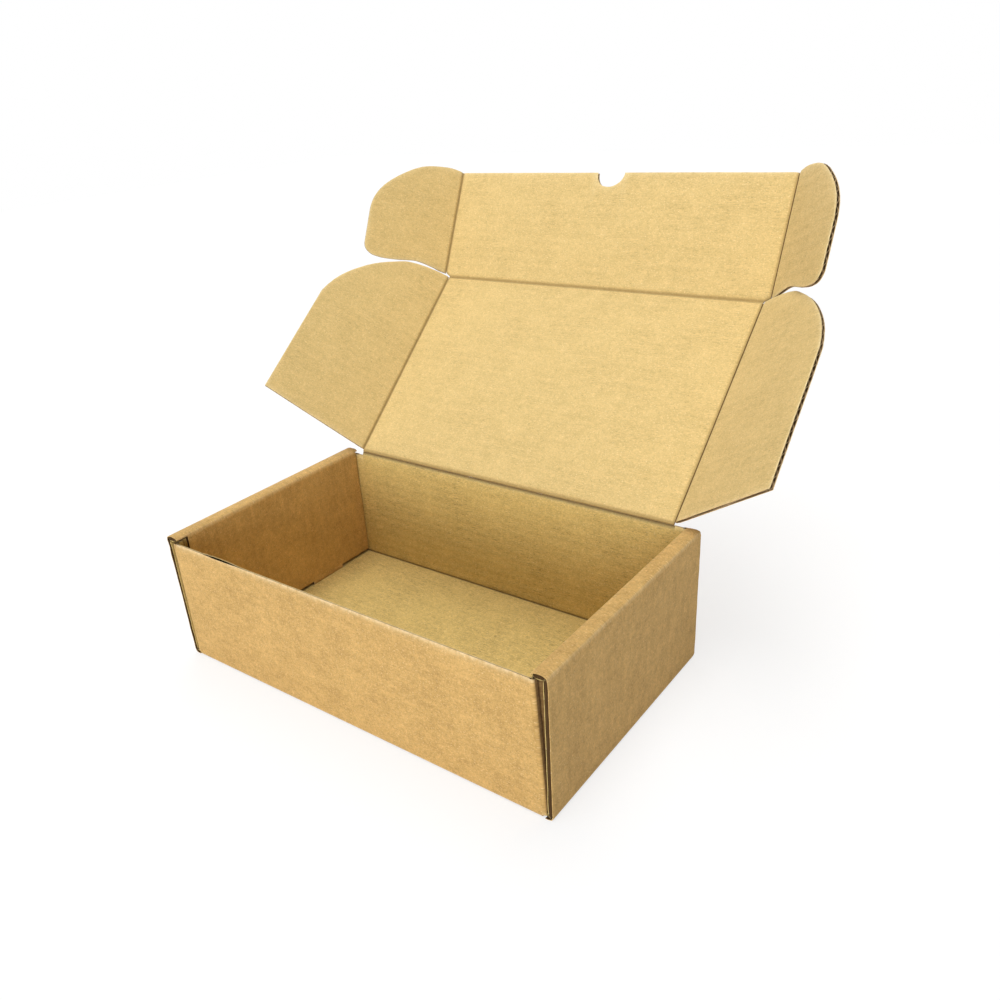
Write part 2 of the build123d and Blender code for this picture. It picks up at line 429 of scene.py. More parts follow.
@dataclass
class BoardMesh:
    """Mesh in the making, with board coordinates, crease marks (crease colour with painted shade)
    and edge marks at its points.
    """

    points: list[Vector] = field(default_factory=list)
    faces: list[tuple[int, ...]] = field(default_factory=list)
    papers: list[int] = field(default_factory=list)
    board: list[Span] = field(default_factory=list)
    crease: list[float] = field(default_factory=list)
    edge: list[float] = field(default_factory=list)
    sharp_angle: float = 38.0

    def add_point(self, point: Vector, board: Span, crease: float, edge: float) -> int:
        """Adds a point.

        Args:
            point: Its place, in millimetres.
            board: Its place on the flat board, in millimetres.
            crease: How strongly crease colour and painted shade lie there.
            edge: How worn it is, and on the medium how far its painted shade gives way to its own
                colour.

        Returns:
            Its index.
        """
        self.points.append(point * MM)
        self.board.append(board)
        self.crease.append(crease)
        self.edge.append(edge)
        return len(self.points) - 1

    def add_face(self, corners: tuple[int, ...], paper: Paper) -> None:
        """Adds a face of one paper."""
        self.faces.append(corners)
        self.papers.append(paper.value)

    def add_shell(self, skin: list[list[int]], back: list[list[int]], paper: Paper) -> None:
        """Closes two grids of points into a thin shell.

        Args:
            skin: Point indices of the side that shows, as rows.
            back: Point indices of the side inside the board, with the same layout.
            paper: Paper of the skin and the rim; the back takes the medium's paper, dark with
                painted shade.
        """
        rows, columns = len(skin), len(skin[0])
        for i in range(rows - 1):
            for j in range(columns - 1):
                a, b = skin[i][j], skin[i][j + 1]
                c, d = skin[i + 1][j + 1], skin[i + 1][j]
                self.add_face((a, b, c, d), paper)
                a, b = back[i][j], back[i + 1][j]
                c, d = back[i + 1][j + 1], back[i][j + 1]
                self.add_face((a, b, c, d), Paper.MEDIUM)
        ring = [(0, j) for j in range(columns - 1)]
        ring += [(i, columns - 1) for i in range(rows - 1)]
        ring += [(rows - 1, j) for j in range(columns - 1, 0, -1)]
        ring += [(i, 0) for i in range(rows - 1, 0, -1)]
        for k, (i, j) in enumerate(ring):
            m, n = ring[(k + 1) % len(ring)]
            self.add_face((skin[i][j], back[i][j], back[m][n], skin[m][n]), paper)

    def add_roll(self, start: Vector, end: Vector) -> None:
        """Adds the crushed roll of board that turns in a crease, fully marked with crease colour
        and painted shade.

        Args:
            start: One end of its axis.
            end: Other end of its axis.
        """
        axis = (end - start).normalized()
        across = axis.orthogonal().normalized()
        upward = axis.cross(across)
        rings: list[list[int]] = []
        pieces = max(2, int((end - start).length / ROLL.step))
        for i in range(pieces + 1):
            centre = start.lerp(end, i / pieces)
            ring = []
            for k in range(ROLL.sides):
                angle = math.tau * k / ROLL.sides
                offset = across * math.cos(angle) + upward * math.sin(angle)
                spot = (i * ROLL.step, k * ROLL.grain)
                # The roll takes a full crease mark: crease colour and painted shade.
                ring.append(self.add_point(centre + offset * ROLL.radius, spot, 1.0, 0.0))
            rings.append(ring)
        for low, high in zip(rings, rings[1:]):
            for k in range(ROLL.sides):
                n = (k + 1) % ROLL.sides
                self.add_face((low[k], low[n], high[n], high[k]), Paper.INNER)
        self.add_face(tuple(reversed(rings[0])), Paper.INNER)
        self.add_face(tuple(rings[-1]), Paper.INNER)

    def make_object(self, name: str, materials: Sequence[bpy.types.Material]) -> bpy.types.Object:
        """Turns the draft into a smooth-shaded object.

        Args:
            name: Name of the piece.
            materials: Materials in the order of Paper.

        Returns:
            The new object.
        """
        mesh = bpy.data.meshes.new(name)
        mesh.from_pydata([tuple(p) for p in self.points], [], self.faces)
        for material in materials:
            mesh.materials.append(material)
        mesh.polygons.foreach_set("material_index", self.papers)
        shaped = bmesh.new()
        shaped.from_mesh(mesh)
        bmesh.ops.recalc_face_normals(shaped, faces=shaped.faces)
        shaped.to_mesh(mesh)
        shaped.free()
        layer = mesh.uv_layers.new(name="board")
        flat: list[float] = []
        for loop in mesh.loops:
            spot = self.board[loop.vertex_index]
            flat += [spot[0] * MM, spot[1] * MM]
        layer.data.foreach_set("uv", flat)
        # The crease mark carries crease colour and painted shade; the edge mark carries wear, and
        # on the medium the lifting of its painted shade.
        for label, values in (("crease", self.crease), ("edge", self.edge)):
            attribute = mesh.attributes.new(label, "FLOAT", "POINT")
            attribute.data.foreach_set("value", values)
        mesh.validate(clean_customdata=False)
        mesh.update()
        piece = bpy.data.objects.new(name, mesh)
        bpy.context.scene.collection.objects.link(piece)
        mesh.shade_smooth()
        mesh.set_sharp_from_angle(angle=math.radians(self.sharp_angle))
        return piece


@dataclass
class Panel:
    """One sheet of board between a near and a far column, with a low and a high outline.

    Columns run across it at fixed x, and rows lie between the outlines along y. Its finish is
    in fields too: how far the cut is pinched, how ragged and worn it is, how much the sheet warps,
    where the medium is built, and whether its high edge curls around the next panel's roll.
    """

    columns: list[float]
    low: Edge1D
    high: Edge1D
    surface: Surface
    low_rim: Rim = Rim.CUT
    high_rim: Rim = Rim.CUT
    near_rim: Rim = Rim.CUT
    far_rim: Rim = Rim.CUT
    fold: Callable[[float, float], FoldState] | None = None
    fluted: tuple[Span, ...] = ()
    offset: Span = (0.0, 0.0)
    warp: float = 0.0
    warp_scale: Span = (0.011, 0.013)
    warp_reach: float = 18.0
    ragged: float = 0.10
    pinch: float = BOARD.pinch
    pinch_reach: float = BOARD.pinch_reach
    # wear scales the edge mark: wear on the liners, and on the medium how far its painted shade
    # lifts near a cut.
    wear: float = 1.0
    cradle: bool = False
    row_step: float = 7.0
    edge_share: float = 0.42
    medium_inset: float = 0.12
    least_wave: float = 0.04
    liner_share: float = 0.8
    board_x: Callable[[float, float], float] | None = None
    lift: Callable[[float, float], float] | None = None

    def rim_slope(self, edge: Edge1D, x: float) -> float:
        """Length of an outline per millimetre of x, from 1 to 9."""
        rise = edge(x + 0.05) - edge(x - 0.05)
        return min(9.0, math.hypot(1.0, rise / 0.1))

    def gaps(self, x: float, y: float) -> tuple[tuple[Rim, float], ...]:
        """Distance to each of the four rims.

        Args:
            x: Position along the flutes.
            y: Position across the flutes.

        Returns:
            A rim and its distance for each of the four sides.
        """
        return (
            (self.low_rim, (y - self.low(x)) / self.rim_slope(self.low, x)),
            (self.high_rim, (self.high(x) - y) / self.rim_slope(self.high, x)),
            (self.near_rim, x - self.columns[0]),
            (self.far_rim, self.columns[-1] - x),
        )

    def state_at(self, x: float, y: float) -> FoldState:
        """Half thicknesses and marks at a point of the sheet.

        Args:
            x: Position along the flutes.
            y: Position across the flutes.

        Returns:
            The state of the board there.
        """
        gaps = self.gaps(x, y)
        crease_gap = min((gap for rim, gap in gaps if rim is Rim.CREASE), default=FAR)
        cut_gap = max(0.0, min((gap for rim, gap in gaps if rim is Rim.CUT), default=FAR))
        rise = smooth(crease_gap / BOARD.shoulder)
        half = ROLL.radius + (BOARD.half - ROLL.radius) * rise
        # Crease mark beside a creased rim: crease colour with painted shade in the groove, weaker
        # on the outer face.
        crease = 1.0 - smooth(crease_gap / (BOARD.shoulder * BOARD.crease_shade))
        inner = outer = half
        inner_crease_shade, outer_crease_shade = crease, crease * BOARD.outer_crease_shade
        outer_wear = 0.0
        if self.fold is not None:
            fold = self.fold(x, y)
            inner, outer = min(half, fold.inner), min(half, fold.outer)
            inner_crease_shade = max(crease, fold.inner_crease_shade)
            outer_crease_shade = max(outer_crease_shade, fold.outer_crease_shade)
            outer_wear = fold.outer_wear
        pinch = self.pinch * math.exp(-cut_gap / self.pinch_reach)
        edge = self.wear * math.exp(-cut_gap / BOARD.worn_reach)
        return FoldState(
            max(inner - pinch, BOARD.least_inner),
            max(outer - pinch, BOARD.least_outer),
            inner_crease_shade,
            outer_crease_shade,
            edge,
            max(edge, outer_wear),
        )

    def jitter(self, x: float, face: int, end: int) -> float:
        """Roughness of the cut at one end of a column."""
        spot = Vector((x * 0.31 + self.offset[0], face * 7.3 + end * 3.1, self.offset[1]))
        return self.ragged * noise.noise(spot)

    def rows(self, x: float, face: int) -> list[float]:
        """Row positions of one column, closer together beside the outline.

        Args:
            x: Position of the column.
            face: 1 for the inner liner, -1 for the outer one.

        Returns:
            The rows, from low to high.
        """
        low, high = self.low(x), self.high(x)
        if self.low_rim is Rim.CUT:
            low += self.jitter(x, face, 0)
        if self.high_rim is Rim.CUT:
            high += self.jitter(x, face, 1)
        room = max(high - low, 0.02)
        near_low = self.rim_slope(self.low, x) ** 0.5
        near_high = self.rim_slope(self.high, x) ** 0.5
        spare = self.edge_share * room
        from_low = min(1.0, spare / (EDGE_MARKS[-1] * near_low)) * near_low
        from_high = min(1.0, spare / (EDGE_MARKS[-1] * near_high)) * near_high
        lows = [low + mark * from_low for mark in EDGE_MARKS]
        highs = [low + room - mark * from_high for mark in reversed(EDGE_MARKS)]
        count = self.inner_rows
        between = highs[0] - lows[-1]
        middle = [lows[-1] + between * (k + 1) / (count + 1) for k in range(count)]
        return lows + middle + highs

    @property
    def inner_rows(self) -> int:
        """How many rows lie between the close ones."""
        tallest = max(self.high(x) - self.low(x) for x in self.columns)
        return max(3, int(tallest / self.row_step))

    def place(self, mesh: BoardMesh, x: float, y: float, rise: float, marks: Span) -> int:
        """Adds the point at a height above the middle of the board.

        Args:
            mesh: Mesh that takes it.
            x: Its column.
            y: Its row.
            rise: Height above the board's middle, below 0 towards the outer liner.
            marks: How creased and how worn the paper is there.

        Returns:
            Its index.
        """
        point, normal = self.surface(x, y)
        if self.warp:
            scale_x, scale_y = self.warp_scale
            sway = noise.noise(Vector((x * scale_x, y * scale_y, self.offset[0])))
            window = 1.0
            for rim, gap in self.gaps(x, y):
                if rim is not Rim.CUT:
                    window *= smooth(gap / self.warp_reach)
            rise += self.warp * sway * window
        along = self.board_x(x, y) if self.board_x else x
        spot = (along + self.offset[0], y + self.offset[1])
        return mesh.add_point(point + normal * rise, spot, marks[0], marks[1])

    def run_on(self, last: bool, rise: float) -> float:
        """How far a liner runs on past its last row, around the roll of the next panel.

        Args:
            last: Whether this is the last row.
            rise: Height above or below the board's middle.

        Returns:
            The extra length, 0 where the liner ends square.
        """
        if not (self.cradle and last):
            return 0.0
        return CRADLE - math.sqrt(max(0.0, CRADLE * CRADLE - rise * rise))

    def add_liners(self, mesh: BoardMesh) -> None:
        """Adds the inner and the outer liner.

        Args:
            mesh: Mesh that takes them.
        """
        for face, paper in ((1, Paper.INNER), (-1, Paper.OUTER)):
            skin: list[list[int]] = []
            back: list[list[int]] = []
            for x in self.columns:
                skin_row: list[int] = []
                back_row: list[int] = []
                rows = self.rows(x, face)
                for y in rows:
                    state = self.state_at(x, y)
                    half = state.inner if face > 0 else state.outer
                    marks = state.marks(face)
                    if self.lift is not None and face > 0:
                        half += self.lift(x, y)
                    inside = half - min(BOARD.liner, half * self.liner_share)
                    last = y == rows[-1]
                    skin_y = y + self.run_on(last, half)
                    back_y = y + self.run_on(last, inside)
                    skin_row.append(self.place(mesh, x, skin_y, face * half, marks))
                    back_row.append(self.place(mesh, x, back_y, face * inside, marks))
                skin.append(skin_row)
                back.append(back_row)
            mesh.add_shell(skin, back, paper)

    def spans(self, y: float) -> list[Span]:
        """Stretches of x in which a row lies inside the outline.

        Args:
            y: Position of the row.

        Returns:
            Start and end of each stretch.
        """
        found: list[Span] = []
        entered: float | None = None
        last_x, last_gap = 0.0, -1.0
        for k, x in enumerate(self.columns):
            gap = min(y - self.low(x), self.high(x) - y)
            if gap > 0 and last_gap <= 0:
                share = -last_gap / (gap - last_gap) if k else 1.0
                entered = last_x + (x - last_x) * share if k else x
            if gap <= 0 < last_gap and entered is not None:
                found.append((entered, last_x + (x - last_x) * last_gap / (last_gap - gap)))
                entered = None
            last_x, last_gap = x, gap
        if entered is not None:
            found.append((entered, last_x))
        return [span for span in found if span[1] - span[0] > 1.0]

    def add_medium(self, mesh: BoardMesh) -> None:
        """Adds the fluted medium over the stretches that can be seen into.

        Args:
            mesh: Mesh that takes it.
        """
        for first, last in self.fluted:
            step = BOARD.pitch / BOARD.flute_steps
            runs: list[list[tuple[float, list[Span]]]] = []
            y = first
            while y <= last + 1e-6:
                spans = self.spans(y)
                if not runs or len(runs[-1][-1][1]) != len(spans):
                    runs.append([])
                runs[-1].append((y, spans))
                y += step
            for run in runs:
                for index in range(len(run[0][1])):
                    self.add_wave(mesh, [(y, spans[index]) for y, spans in run])

    def add_wave(self, mesh: BoardMesh, rows: list[tuple[float, Span]]) -> None:
        """Adds one unbroken stretch of medium.

        Args:
            mesh: Mesh that takes it.
            rows: Each row's position and its stretch of x.
        """
        if len(rows) < 2:
            return
        widest = max((span for _y, span in rows), key=lambda span: span[1] - span[0])
        inside = [x for x in self.columns if widest[0] < x < widest[1]]
        shares = [(x - widest[0]) / (widest[1] - widest[0]) for x in inside[::2]]
        shares = [0.0] + shares + [1.0]
        skin = BOARD.liner + BOARD.medium / 2
        upper: list[list[int]] = []
        lower: list[list[int]] = []
        for y, (start, end) in rows:
            phase = math.sin(math.tau * (y + self.offset[1]) / BOARD.pitch)
            above: list[int] = []
            below: list[int] = []
            for share in shares:
                x = start + self.medium_inset + (end - start - 2 * self.medium_inset) * share
                state = self.state_at(x, y)
                top = max(state.inner - skin, 0.0)
                bottom = -max(state.outer - skin, 0.0)
                height = max(self.least_wave, (top - bottom) / 2)
                rise = (top + bottom) / 2 + phase * height
                marks = state.marks(0)
                above.append(self.place(mesh, x, y, rise + BOARD.medium / 2, marks))
                below.append(self.place(mesh, x, y, rise - BOARD.medium / 2, marks))
            upper.append(above)
            lower.append(below)
        mesh.add_shell(upper, lower, Paper.MEDIUM)

    def build(self, mesh: BoardMesh) -> None:
        """Adds the whole sheet.

        Args:
            mesh: Mesh that takes it.
        """
        self.add_liners(mesh)
        if self.fluted:
            self.add_medium(mesh)


class Graph:
    """Small helper that writes one material's nodes."""

    def __init__(self, name: str) -> None:
        """Starts a material with an empty tree.

        Args:
            name: Name of the material.
        """
        self.material = bpy.data.materials.new(name)
        self.material.use_nodes = True
        self.tree = self.material.node_tree
        self.tree.nodes.clear()
        self.output = self.node("ShaderNodeOutputMaterial")
        self.shader = self.node("ShaderNodeBsdfPrincipled")
        self.link(self.shader.outputs["BSDF"], self.output.inputs["Surface"])

    def node(self, kind: str, **settings: object) -> bpy.types.Node:
        """Adds a node.

        Args:
            kind: Type of the node.
            **settings: Its properties.

        Returns:
            The node.
        """
        made = self.tree.nodes.new(kind)
        for key, value in settings.items():
            setattr(made, key, value)
        return made

    def link(self, source: Socket, target: Socket) -> None:
        """Joins two sockets."""
        self.tree.links.new(source, target)

    def noise(self, vector: Socket, scale: float, detail: float, rough: float = 0.55) -> Socket:
        """Adds a noise texture.

        Args:
            vector: Where it is read.
            scale: Its scale.
            detail: Its detail.
            rough: Its roughness.

        Returns:
            The noise value's socket.
        """
        made = self.node("ShaderNodeTexNoise")
        made.inputs["Scale"].default_value = scale
        made.inputs["Detail"].default_value = detail
        made.inputs["Roughness"].default_value = rough
        self.link(vector, made.inputs["Vector"])
        return made.outputs["Fac"]

    def stretch(self, vector: Socket, scale: tuple[float, float, float]) -> Socket:
        """Scales a vector, axis by axis.

        Args:
            vector: The vector.
            scale: One factor for each axis.

        Returns:
            The scaled vector's socket.
        """
        made = self.node("ShaderNodeMapping")
        made.inputs["Scale"].default_value = scale
        self.link(vector, made.inputs["Vector"])
        return made.outputs["Vector"]

    def window(self, value: Socket, low: float, high: float, out: Span = (0.0, 1.0)) -> Socket:
        """Maps a range of values to another, clamped.

        Args:
            value: The value.
            low: Where the range starts.
            high: Where it ends.
            out: What the two ends become.

        Returns:
            The mapped value's socket.
        """
        made = self.node("ShaderNodeMapRange")
        made.inputs["From Min"].default_value = low
        made.inputs["From Max"].default_value = high
        made.inputs["To Min"].default_value = out[0]
        made.inputs["To Max"].default_value = out[1]
        self.link(value, made.inputs["Value"])
        return made.outputs["Result"]

    def math(self, operation: str, first: Socket, second: Socket | float) -> Socket:
        """Adds a math node.

        Args:
            operation: Its operation.
            first: First value.
            second: Second value.

        Returns:
            The result's socket.
        """
        made = self.node("ShaderNodeMath", operation=operation)
        self.link(first, made.inputs[0])
        if isinstance(second, float):
            made.inputs[1].default_value = second
        else:
            self.link(second, made.inputs[1])
        return made.outputs["Value"]

    def blend(self, share: Socket, under: Socket | Colour, over: Socket | Colour) -> Socket:
        """Mixes two colours.

        Args:
            share: How much of the second shows.
            under: First colour.
            over: Second colour.

        Returns:
            The mixed colour's socket.
        """
        made = self.node("ShaderNodeMix", data_type="RGBA", blend_type="MIX")
        self.link(share, made.inputs[0])
        for value, socket in ((under, made.inputs[6]), (over, made.inputs[7])):
            if isinstance(value, tuple):
                socket.default_value = (*value, 1.0)
            else:
                self.link(value, socket)
        return made.outputs[2]

    def attribute(self, name: str) -> Socket:
        """Reads one of the mesh's marks."""
        made = self.node("ShaderNodeAttribute", attribute_name=name)
        return made.outputs["Fac"]

    def bump(
        self, height: Socket, distance: float, strength: float, before: Socket | None = None
    ) -> Socket:
        """Adds a bump.

        Args:
            height: Height map.
            distance: Its depth in metres.
            strength: Its strength.
            before: Normal from an earlier bump.

        Returns:
            The normal's socket.
        """
        made = self.node("ShaderNodeBump")
        made.inputs["Distance"].default_value = distance
        made.inputs["Strength"].default_value = strength
        self.link(height, made.inputs["Height"])
        if before is not None:
            self.link(before, made.inputs["Normal"])
        return made.outputs["Normal"]


@dataclass(frozen=True)
class KraftLiner:
    """Kraft liner: mottled, dashed and specked; washboard bands of painted shade; creases in crease
    colour and painted shade.

    Grain sizes count spots for each metre along and across the flutes, and depths are metres.
    """

    name: str
    light: Colour
    dark: Colour
    # crease is the colour of the crease mark: crushed paper and painted shade.
    crease: Colour
    worn: Colour
    dash: Colour
    speck: Colour
    grain: tuple[tuple[float, float, float], ...]
    dashes: float
    crease_shade_share: float
    roughness: float = 0.86
    specular: float = 0.20
    sheen: float = 0.04
    sheen_roughness: float = 0.6
    dash_grain: tuple[float, float, float] = (230.0, 1500.0, 1.0)
    dot_grain: tuple[float, float, float] = (850.0, 1250.0, 1.0)
    speck_grain: tuple[float, float, float] = (760.0, 1150.0, 1.0)
    patch_scale: float = 34.0
    rub_scale: float = 420.0
    # Share of painted shade laid in bands along the washboard.
    washboard_shade_share: float = 0.10
    flute_depth: float = 0.00016
    dash_depth: float = 0.00008
    rub_depth: float = 0.00010
    bump_strength: float = 0.60

    def tone(self, g: Graph, uv: Socket) -> Socket:
        """Writes the paper's own colour from several sizes of grain.

        Args:
            g: Tree that takes the nodes.
            uv: Position on the flat board.

        Returns:
            The colour's socket.
        """
        share: Socket | float = 0.5
        for along, across, amount in self.grain:
            spots = g.noise(g.stretch(uv, (along, across, 1.0)), 1.0, 2.0, 0.55)
            part = g.window(spots, 0.25, 0.75, (-amount / 2, amount / 2))
            share = g.math("ADD", part, share)
        return g.blend(share, self.dark, self.light)

    def flutes(self, g: Graph, uv: Socket) -> Socket:
        """Writes the faint washboard of the flutes under the liner, one ridge for each flute; it
        bumps the liner and also sets bands of painted shade.

        Args:
            g: Tree that takes the nodes.
            uv: Position on the flat board.

        Returns:
            The socket of the ridges' height, from 0 to 1.
        """
        wave = g.node("ShaderNodeTexWave", bands_direction="Y", wave_profile="SIN")
        wave.inputs["Scale"].default_value = 1000.0 * math.tau / (BOARD.pitch * 20)
        wave.inputs["Distortion"].default_value = 0.25
        wave.inputs["Detail"].default_value = 1.0
        wave.inputs["Detail Scale"].default_value = 0.4
        g.link(uv, wave.inputs["Vector"])
        return wave.outputs["Fac"]

    def make(self) -> bpy.types.Material:
        """Writes the material.

        Returns:
            The material.
        """
        g = Graph(self.name)
        uv = g.node("ShaderNodeUVMap", uv_map="board").outputs["UV"]
        solid = g.node("ShaderNodeTexCoord").outputs["Object"]
        colour = self.tone(g, uv)
        lines = self.flutes(g, uv)
        patchy = g.window(g.noise(uv, self.patch_scale, 2.0), 0.38, 0.62)
        dashes = g.noise(g.stretch(uv, self.dash_grain), 1.0, 2.0, 0.5)
        dash_share = g.math("MULTIPLY", g.window(dashes, 0.56, 0.68), patchy)
        colour = g.blend(g.math("MULTIPLY", dash_share, self.dashes), colour, self.dash)
        # Painted shade in bands along the washboard ridges.
        washboard_shade_share = g.math("MULTIPLY", g.math("MULTIPLY", lines, patchy), self.washboard_shade_share)
        colour = g.blend(washboard_shade_share, colour, self.dash)
        dots = g.noise(g.stretch(uv, self.dot_grain), 1.0, 1.0, 0.4)
        colour = g.blend(g.window(dots, 0.67, 0.73, (0.0, 0.55)), colour, self.dash)
        pale = g.noise(g.stretch(uv, self.speck_grain), 1.3, 1.0, 0.4)
        colour = g.blend(g.window(pale, 0.63, 0.72, (0.0, 0.60)), colour, self.speck)
        rubbed = g.noise(solid, self.rub_scale, 3.0, 0.6)
        edge = g.attribute("edge")
        edge_share = g.math("MULTIPLY", edge, g.window(rubbed, 0.34, 0.62, (0.25, 0.80)))
        colour = g.blend(edge_share, colour, self.worn)
        # Crease mark: crease colour and painted shade, broken up by the rubbed noise.
        fold = g.window(g.attribute("crease"), 0.15, 1.0, (0.0, self.crease_shade_share))
        crease_and_shade_share = g.math("MULTIPLY", fold, g.window(rubbed, 0.25, 0.75, (0.72, 1.0)))
        colour = g.blend(crease_and_shade_share, colour, self.crease)
        g.link(colour, g.shader.inputs["Base Color"])
        g.shader.inputs["Roughness"].default_value = self.roughness
        g.shader.inputs["Specular IOR Level"].default_value = self.specular
        g.shader.inputs["Sheen Weight"].default_value = self.sheen
        g.shader.inputs["Sheen Roughness"].default_value = self.sheen_roughness
        normal = g.bump(lines, self.flute_depth, self.bump_strength)
        normal = g.bump(dashes, self.dash_depth, self.bump_strength, normal)
        normal = g.bump(rubbed, self.rub_depth, self.bump_strength, normal)
        g.link(normal, g.shader.inputs["Normal"])
        return g.material


@dataclass(frozen=True)
class FlutingPaper:
    """Paper of the medium: its own colour near a cut, darkening into painted shade deeper in the
    board.
    """

    # base is painted shade for the hollows inside the board; cut is the paper's own colour where a
    # cut shows it.
    base: Colour = (0.130, 0.072, 0.029)
    cut: Colour = (0.640, 0.450, 0.245)
    roughness: float = 0.92
    specular: float = 0.15
    grain_scale: float = 900.0
    grain_depth: float = 0.00006
    bump_strength: float = 0.6

    def make(self) -> bpy.types.Material:
        """Writes the material.

        Returns:
            The material.
        """
        g = Graph("fluting_paper")
        solid = g.node("ShaderNodeTexCoord").outputs["Object"]
        grain = g.noise(solid, self.grain_scale, 4.0, 0.65)
        # The edge mark lifts the painted shade towards the paper's own colour near a cut.
        share = g.math("MULTIPLY", g.attribute("edge"), g.window(grain, 0.30, 0.70, (0.25, 1.0)))
        colour = g.blend(share, self.base, self.cut)
        g.link(colour, g.shader.inputs["Base Color"])
        g.shader.inputs["Roughness"].default_value = self.roughness
        g.shader.inputs["Specular IOR Level"].default_value = self.specular
        normal = g.bump(grain, self.grain_depth, self.bump_strength)
        g.link(normal, g.shader.inputs["Normal"])
        return g.material


@dataclass(frozen=True)
class StudioFloor:
    """Plain pale floor that looks white and keeps a soft shadow.

    It has one colour for the light that it throws back and another, with a glow, for the camera.
    """

    colour: Colour = (0.80, 0.80, 0.80)
    seen: Colour = (0.30, 0.30, 0.30)
    glow: float = 0.72
    roughness: float = 0.9

    def make(self) -> bpy.types.Material:
        """Writes the material.

        Returns:
            The material.
        """
        g = Graph("studio_floor")
        path = g.node("ShaderNodeLightPath").outputs["Is Camera Ray"]
        solid = g.node("ShaderNodeTexCoord").outputs["Object"]
        soft = g.window(g.noise(solid, 3.0, 1.0), 0.0, 1.0, (0.97, 1.0))
        colour = g.blend(g.math("MULTIPLY", path, soft), self.colour, self.seen)
        g.link(colour, g.shader.inputs["Base Color"])
        g.shader.inputs["Roughness"].default_value = self.roughness
        g.shader.inputs["Specular IOR Level"].default_value = 0.0
        g.shader.inputs["Emission Color"].default_value = (1.0, 1.0, 1.0, 1.0)
        g.link(g.math("MULTIPLY", path, self.glow), g.shader.inputs["Emission Strength"])
        return g.material


OUTER_LINER = KraftLiner(
    name="outer_kraft_liner",
    light=(0.795, 0.508, 0.183),
    dark=(0.470, 0.285, 0.090),
    # Very dark crease colour: crushed paper and painted shade, also laid on the dust flaps past
    # their corners.
    crease=(0.120, 0.062, 0.022),
    worn=(0.930, 0.745, 0.450),
    dash=(0.330, 0.185, 0.060),
    speck=(0.900, 0.680, 0.360),
    grain=((950.0, 1050.0, 0.56), (430.0, 450.0, 0.46), (150.0, 165.0, 0.40), (42.0, 46.0, 0.34)),
    dashes=0.22,
    crease_shade_share=0.92,
)
INNER_LINER = KraftLiner(
    name="inner_kraft_liner",
    light=(0.845, 0.618, 0.270),
    dark=(0.560, 0.408, 0.155),
    # Crease colour: crushed paper and painted shade.
    crease=(0.300, 0.190, 0.062),
    worn=(0.860, 0.690, 0.370),
    dash=(0.360, 0.245, 0.080),
    speck=(0.920, 0.760, 0.430),
    grain=((900.0, 1100.0, 0.56), (330.0, 1300.0, 0.18), (340.0, 400.0, 0.36), (90.0, 110.0, 0.26)),
    dashes=0.42,
    crease_shade_share=0.74,
)
# Shaded copy of the inner liner for the inside of the tray: its deeper colour, stronger dashes and
# darker creases are painted shade.
SHADED_TRAY_LINER = KraftLiner(
    name="tray_inner_kraft_liner_painted_shade",
    light=(0.850, 0.625, 0.226),
    dark=(0.500, 0.362, 0.116),
    crease=(0.105, 0.066, 0.024),
    worn=(0.860, 0.690, 0.370),
    dash=(0.250, 0.165, 0.052),
    speck=(0.920, 0.760, 0.430),
    grain=((900.0, 1100.0, 0.62), (330.0, 1300.0, 0.34), (340.0, 400.0, 0.40), (90.0, 110.0, 0.30)),
    dashes=0.72,
    crease_shade_share=0.90,
)


def flat_surface(frame: Matrix, side: int = 1) -> Surface:
    """Surface of a flat panel.

    Args:
        frame: Place of the panel's flat frame, in millimetres.
        side: 1 to lay x to the right, -1 to the left.

    Returns:
        A function from panel coordinates to a point and the inward normal.
    """
    normal = (frame.to_3x3() @ Vector((0.0, 0.0, 1.0))).normalized()

    def surface(x: float, y: float) -> tuple[Vector, Vector]:
        """Point and normal on the flat panel."""
        return frame @ Vector((side * x, y, 0.0)), normal

    return surface


@dataclass
class SpinePanel(Panel):
    """Panel whose rows follow the bends of the spine and move only at its two ends.

    Its base rows are those of a straight strip, and only those within reach of an end give way.
    """

    base: tuple[float, ...] = ()
    reach: float = 6.0

    def rows(self, x: float, face: int) -> list[float]:
        """Row positions of one column.

        Args:
            x: Position of the column.
            face: 1 for the inner liner, -1 for the outer one.

        Returns:
            The rows, from low to high.
        """
        first, last = self.base[0], self.base[-1]
        low, high = self.low(x), self.high(x)
        if self.low_rim is Rim.CUT:
            low += self.jitter(x, face, 0)
        if self.high_rim is Rim.CUT:
            high += self.jitter(x, face, 1)
        found: list[float] = []
        for y in self.base:
            if y < first + self.reach:
                share = (y - first) / self.reach
                found.append(low + share * (first + self.reach - low))
            elif y > last - self.reach:
                share = (last - y) / self.reach
                found.append(high - share * (high - last + self.reach))
            else:
                found.append(y)
        return found


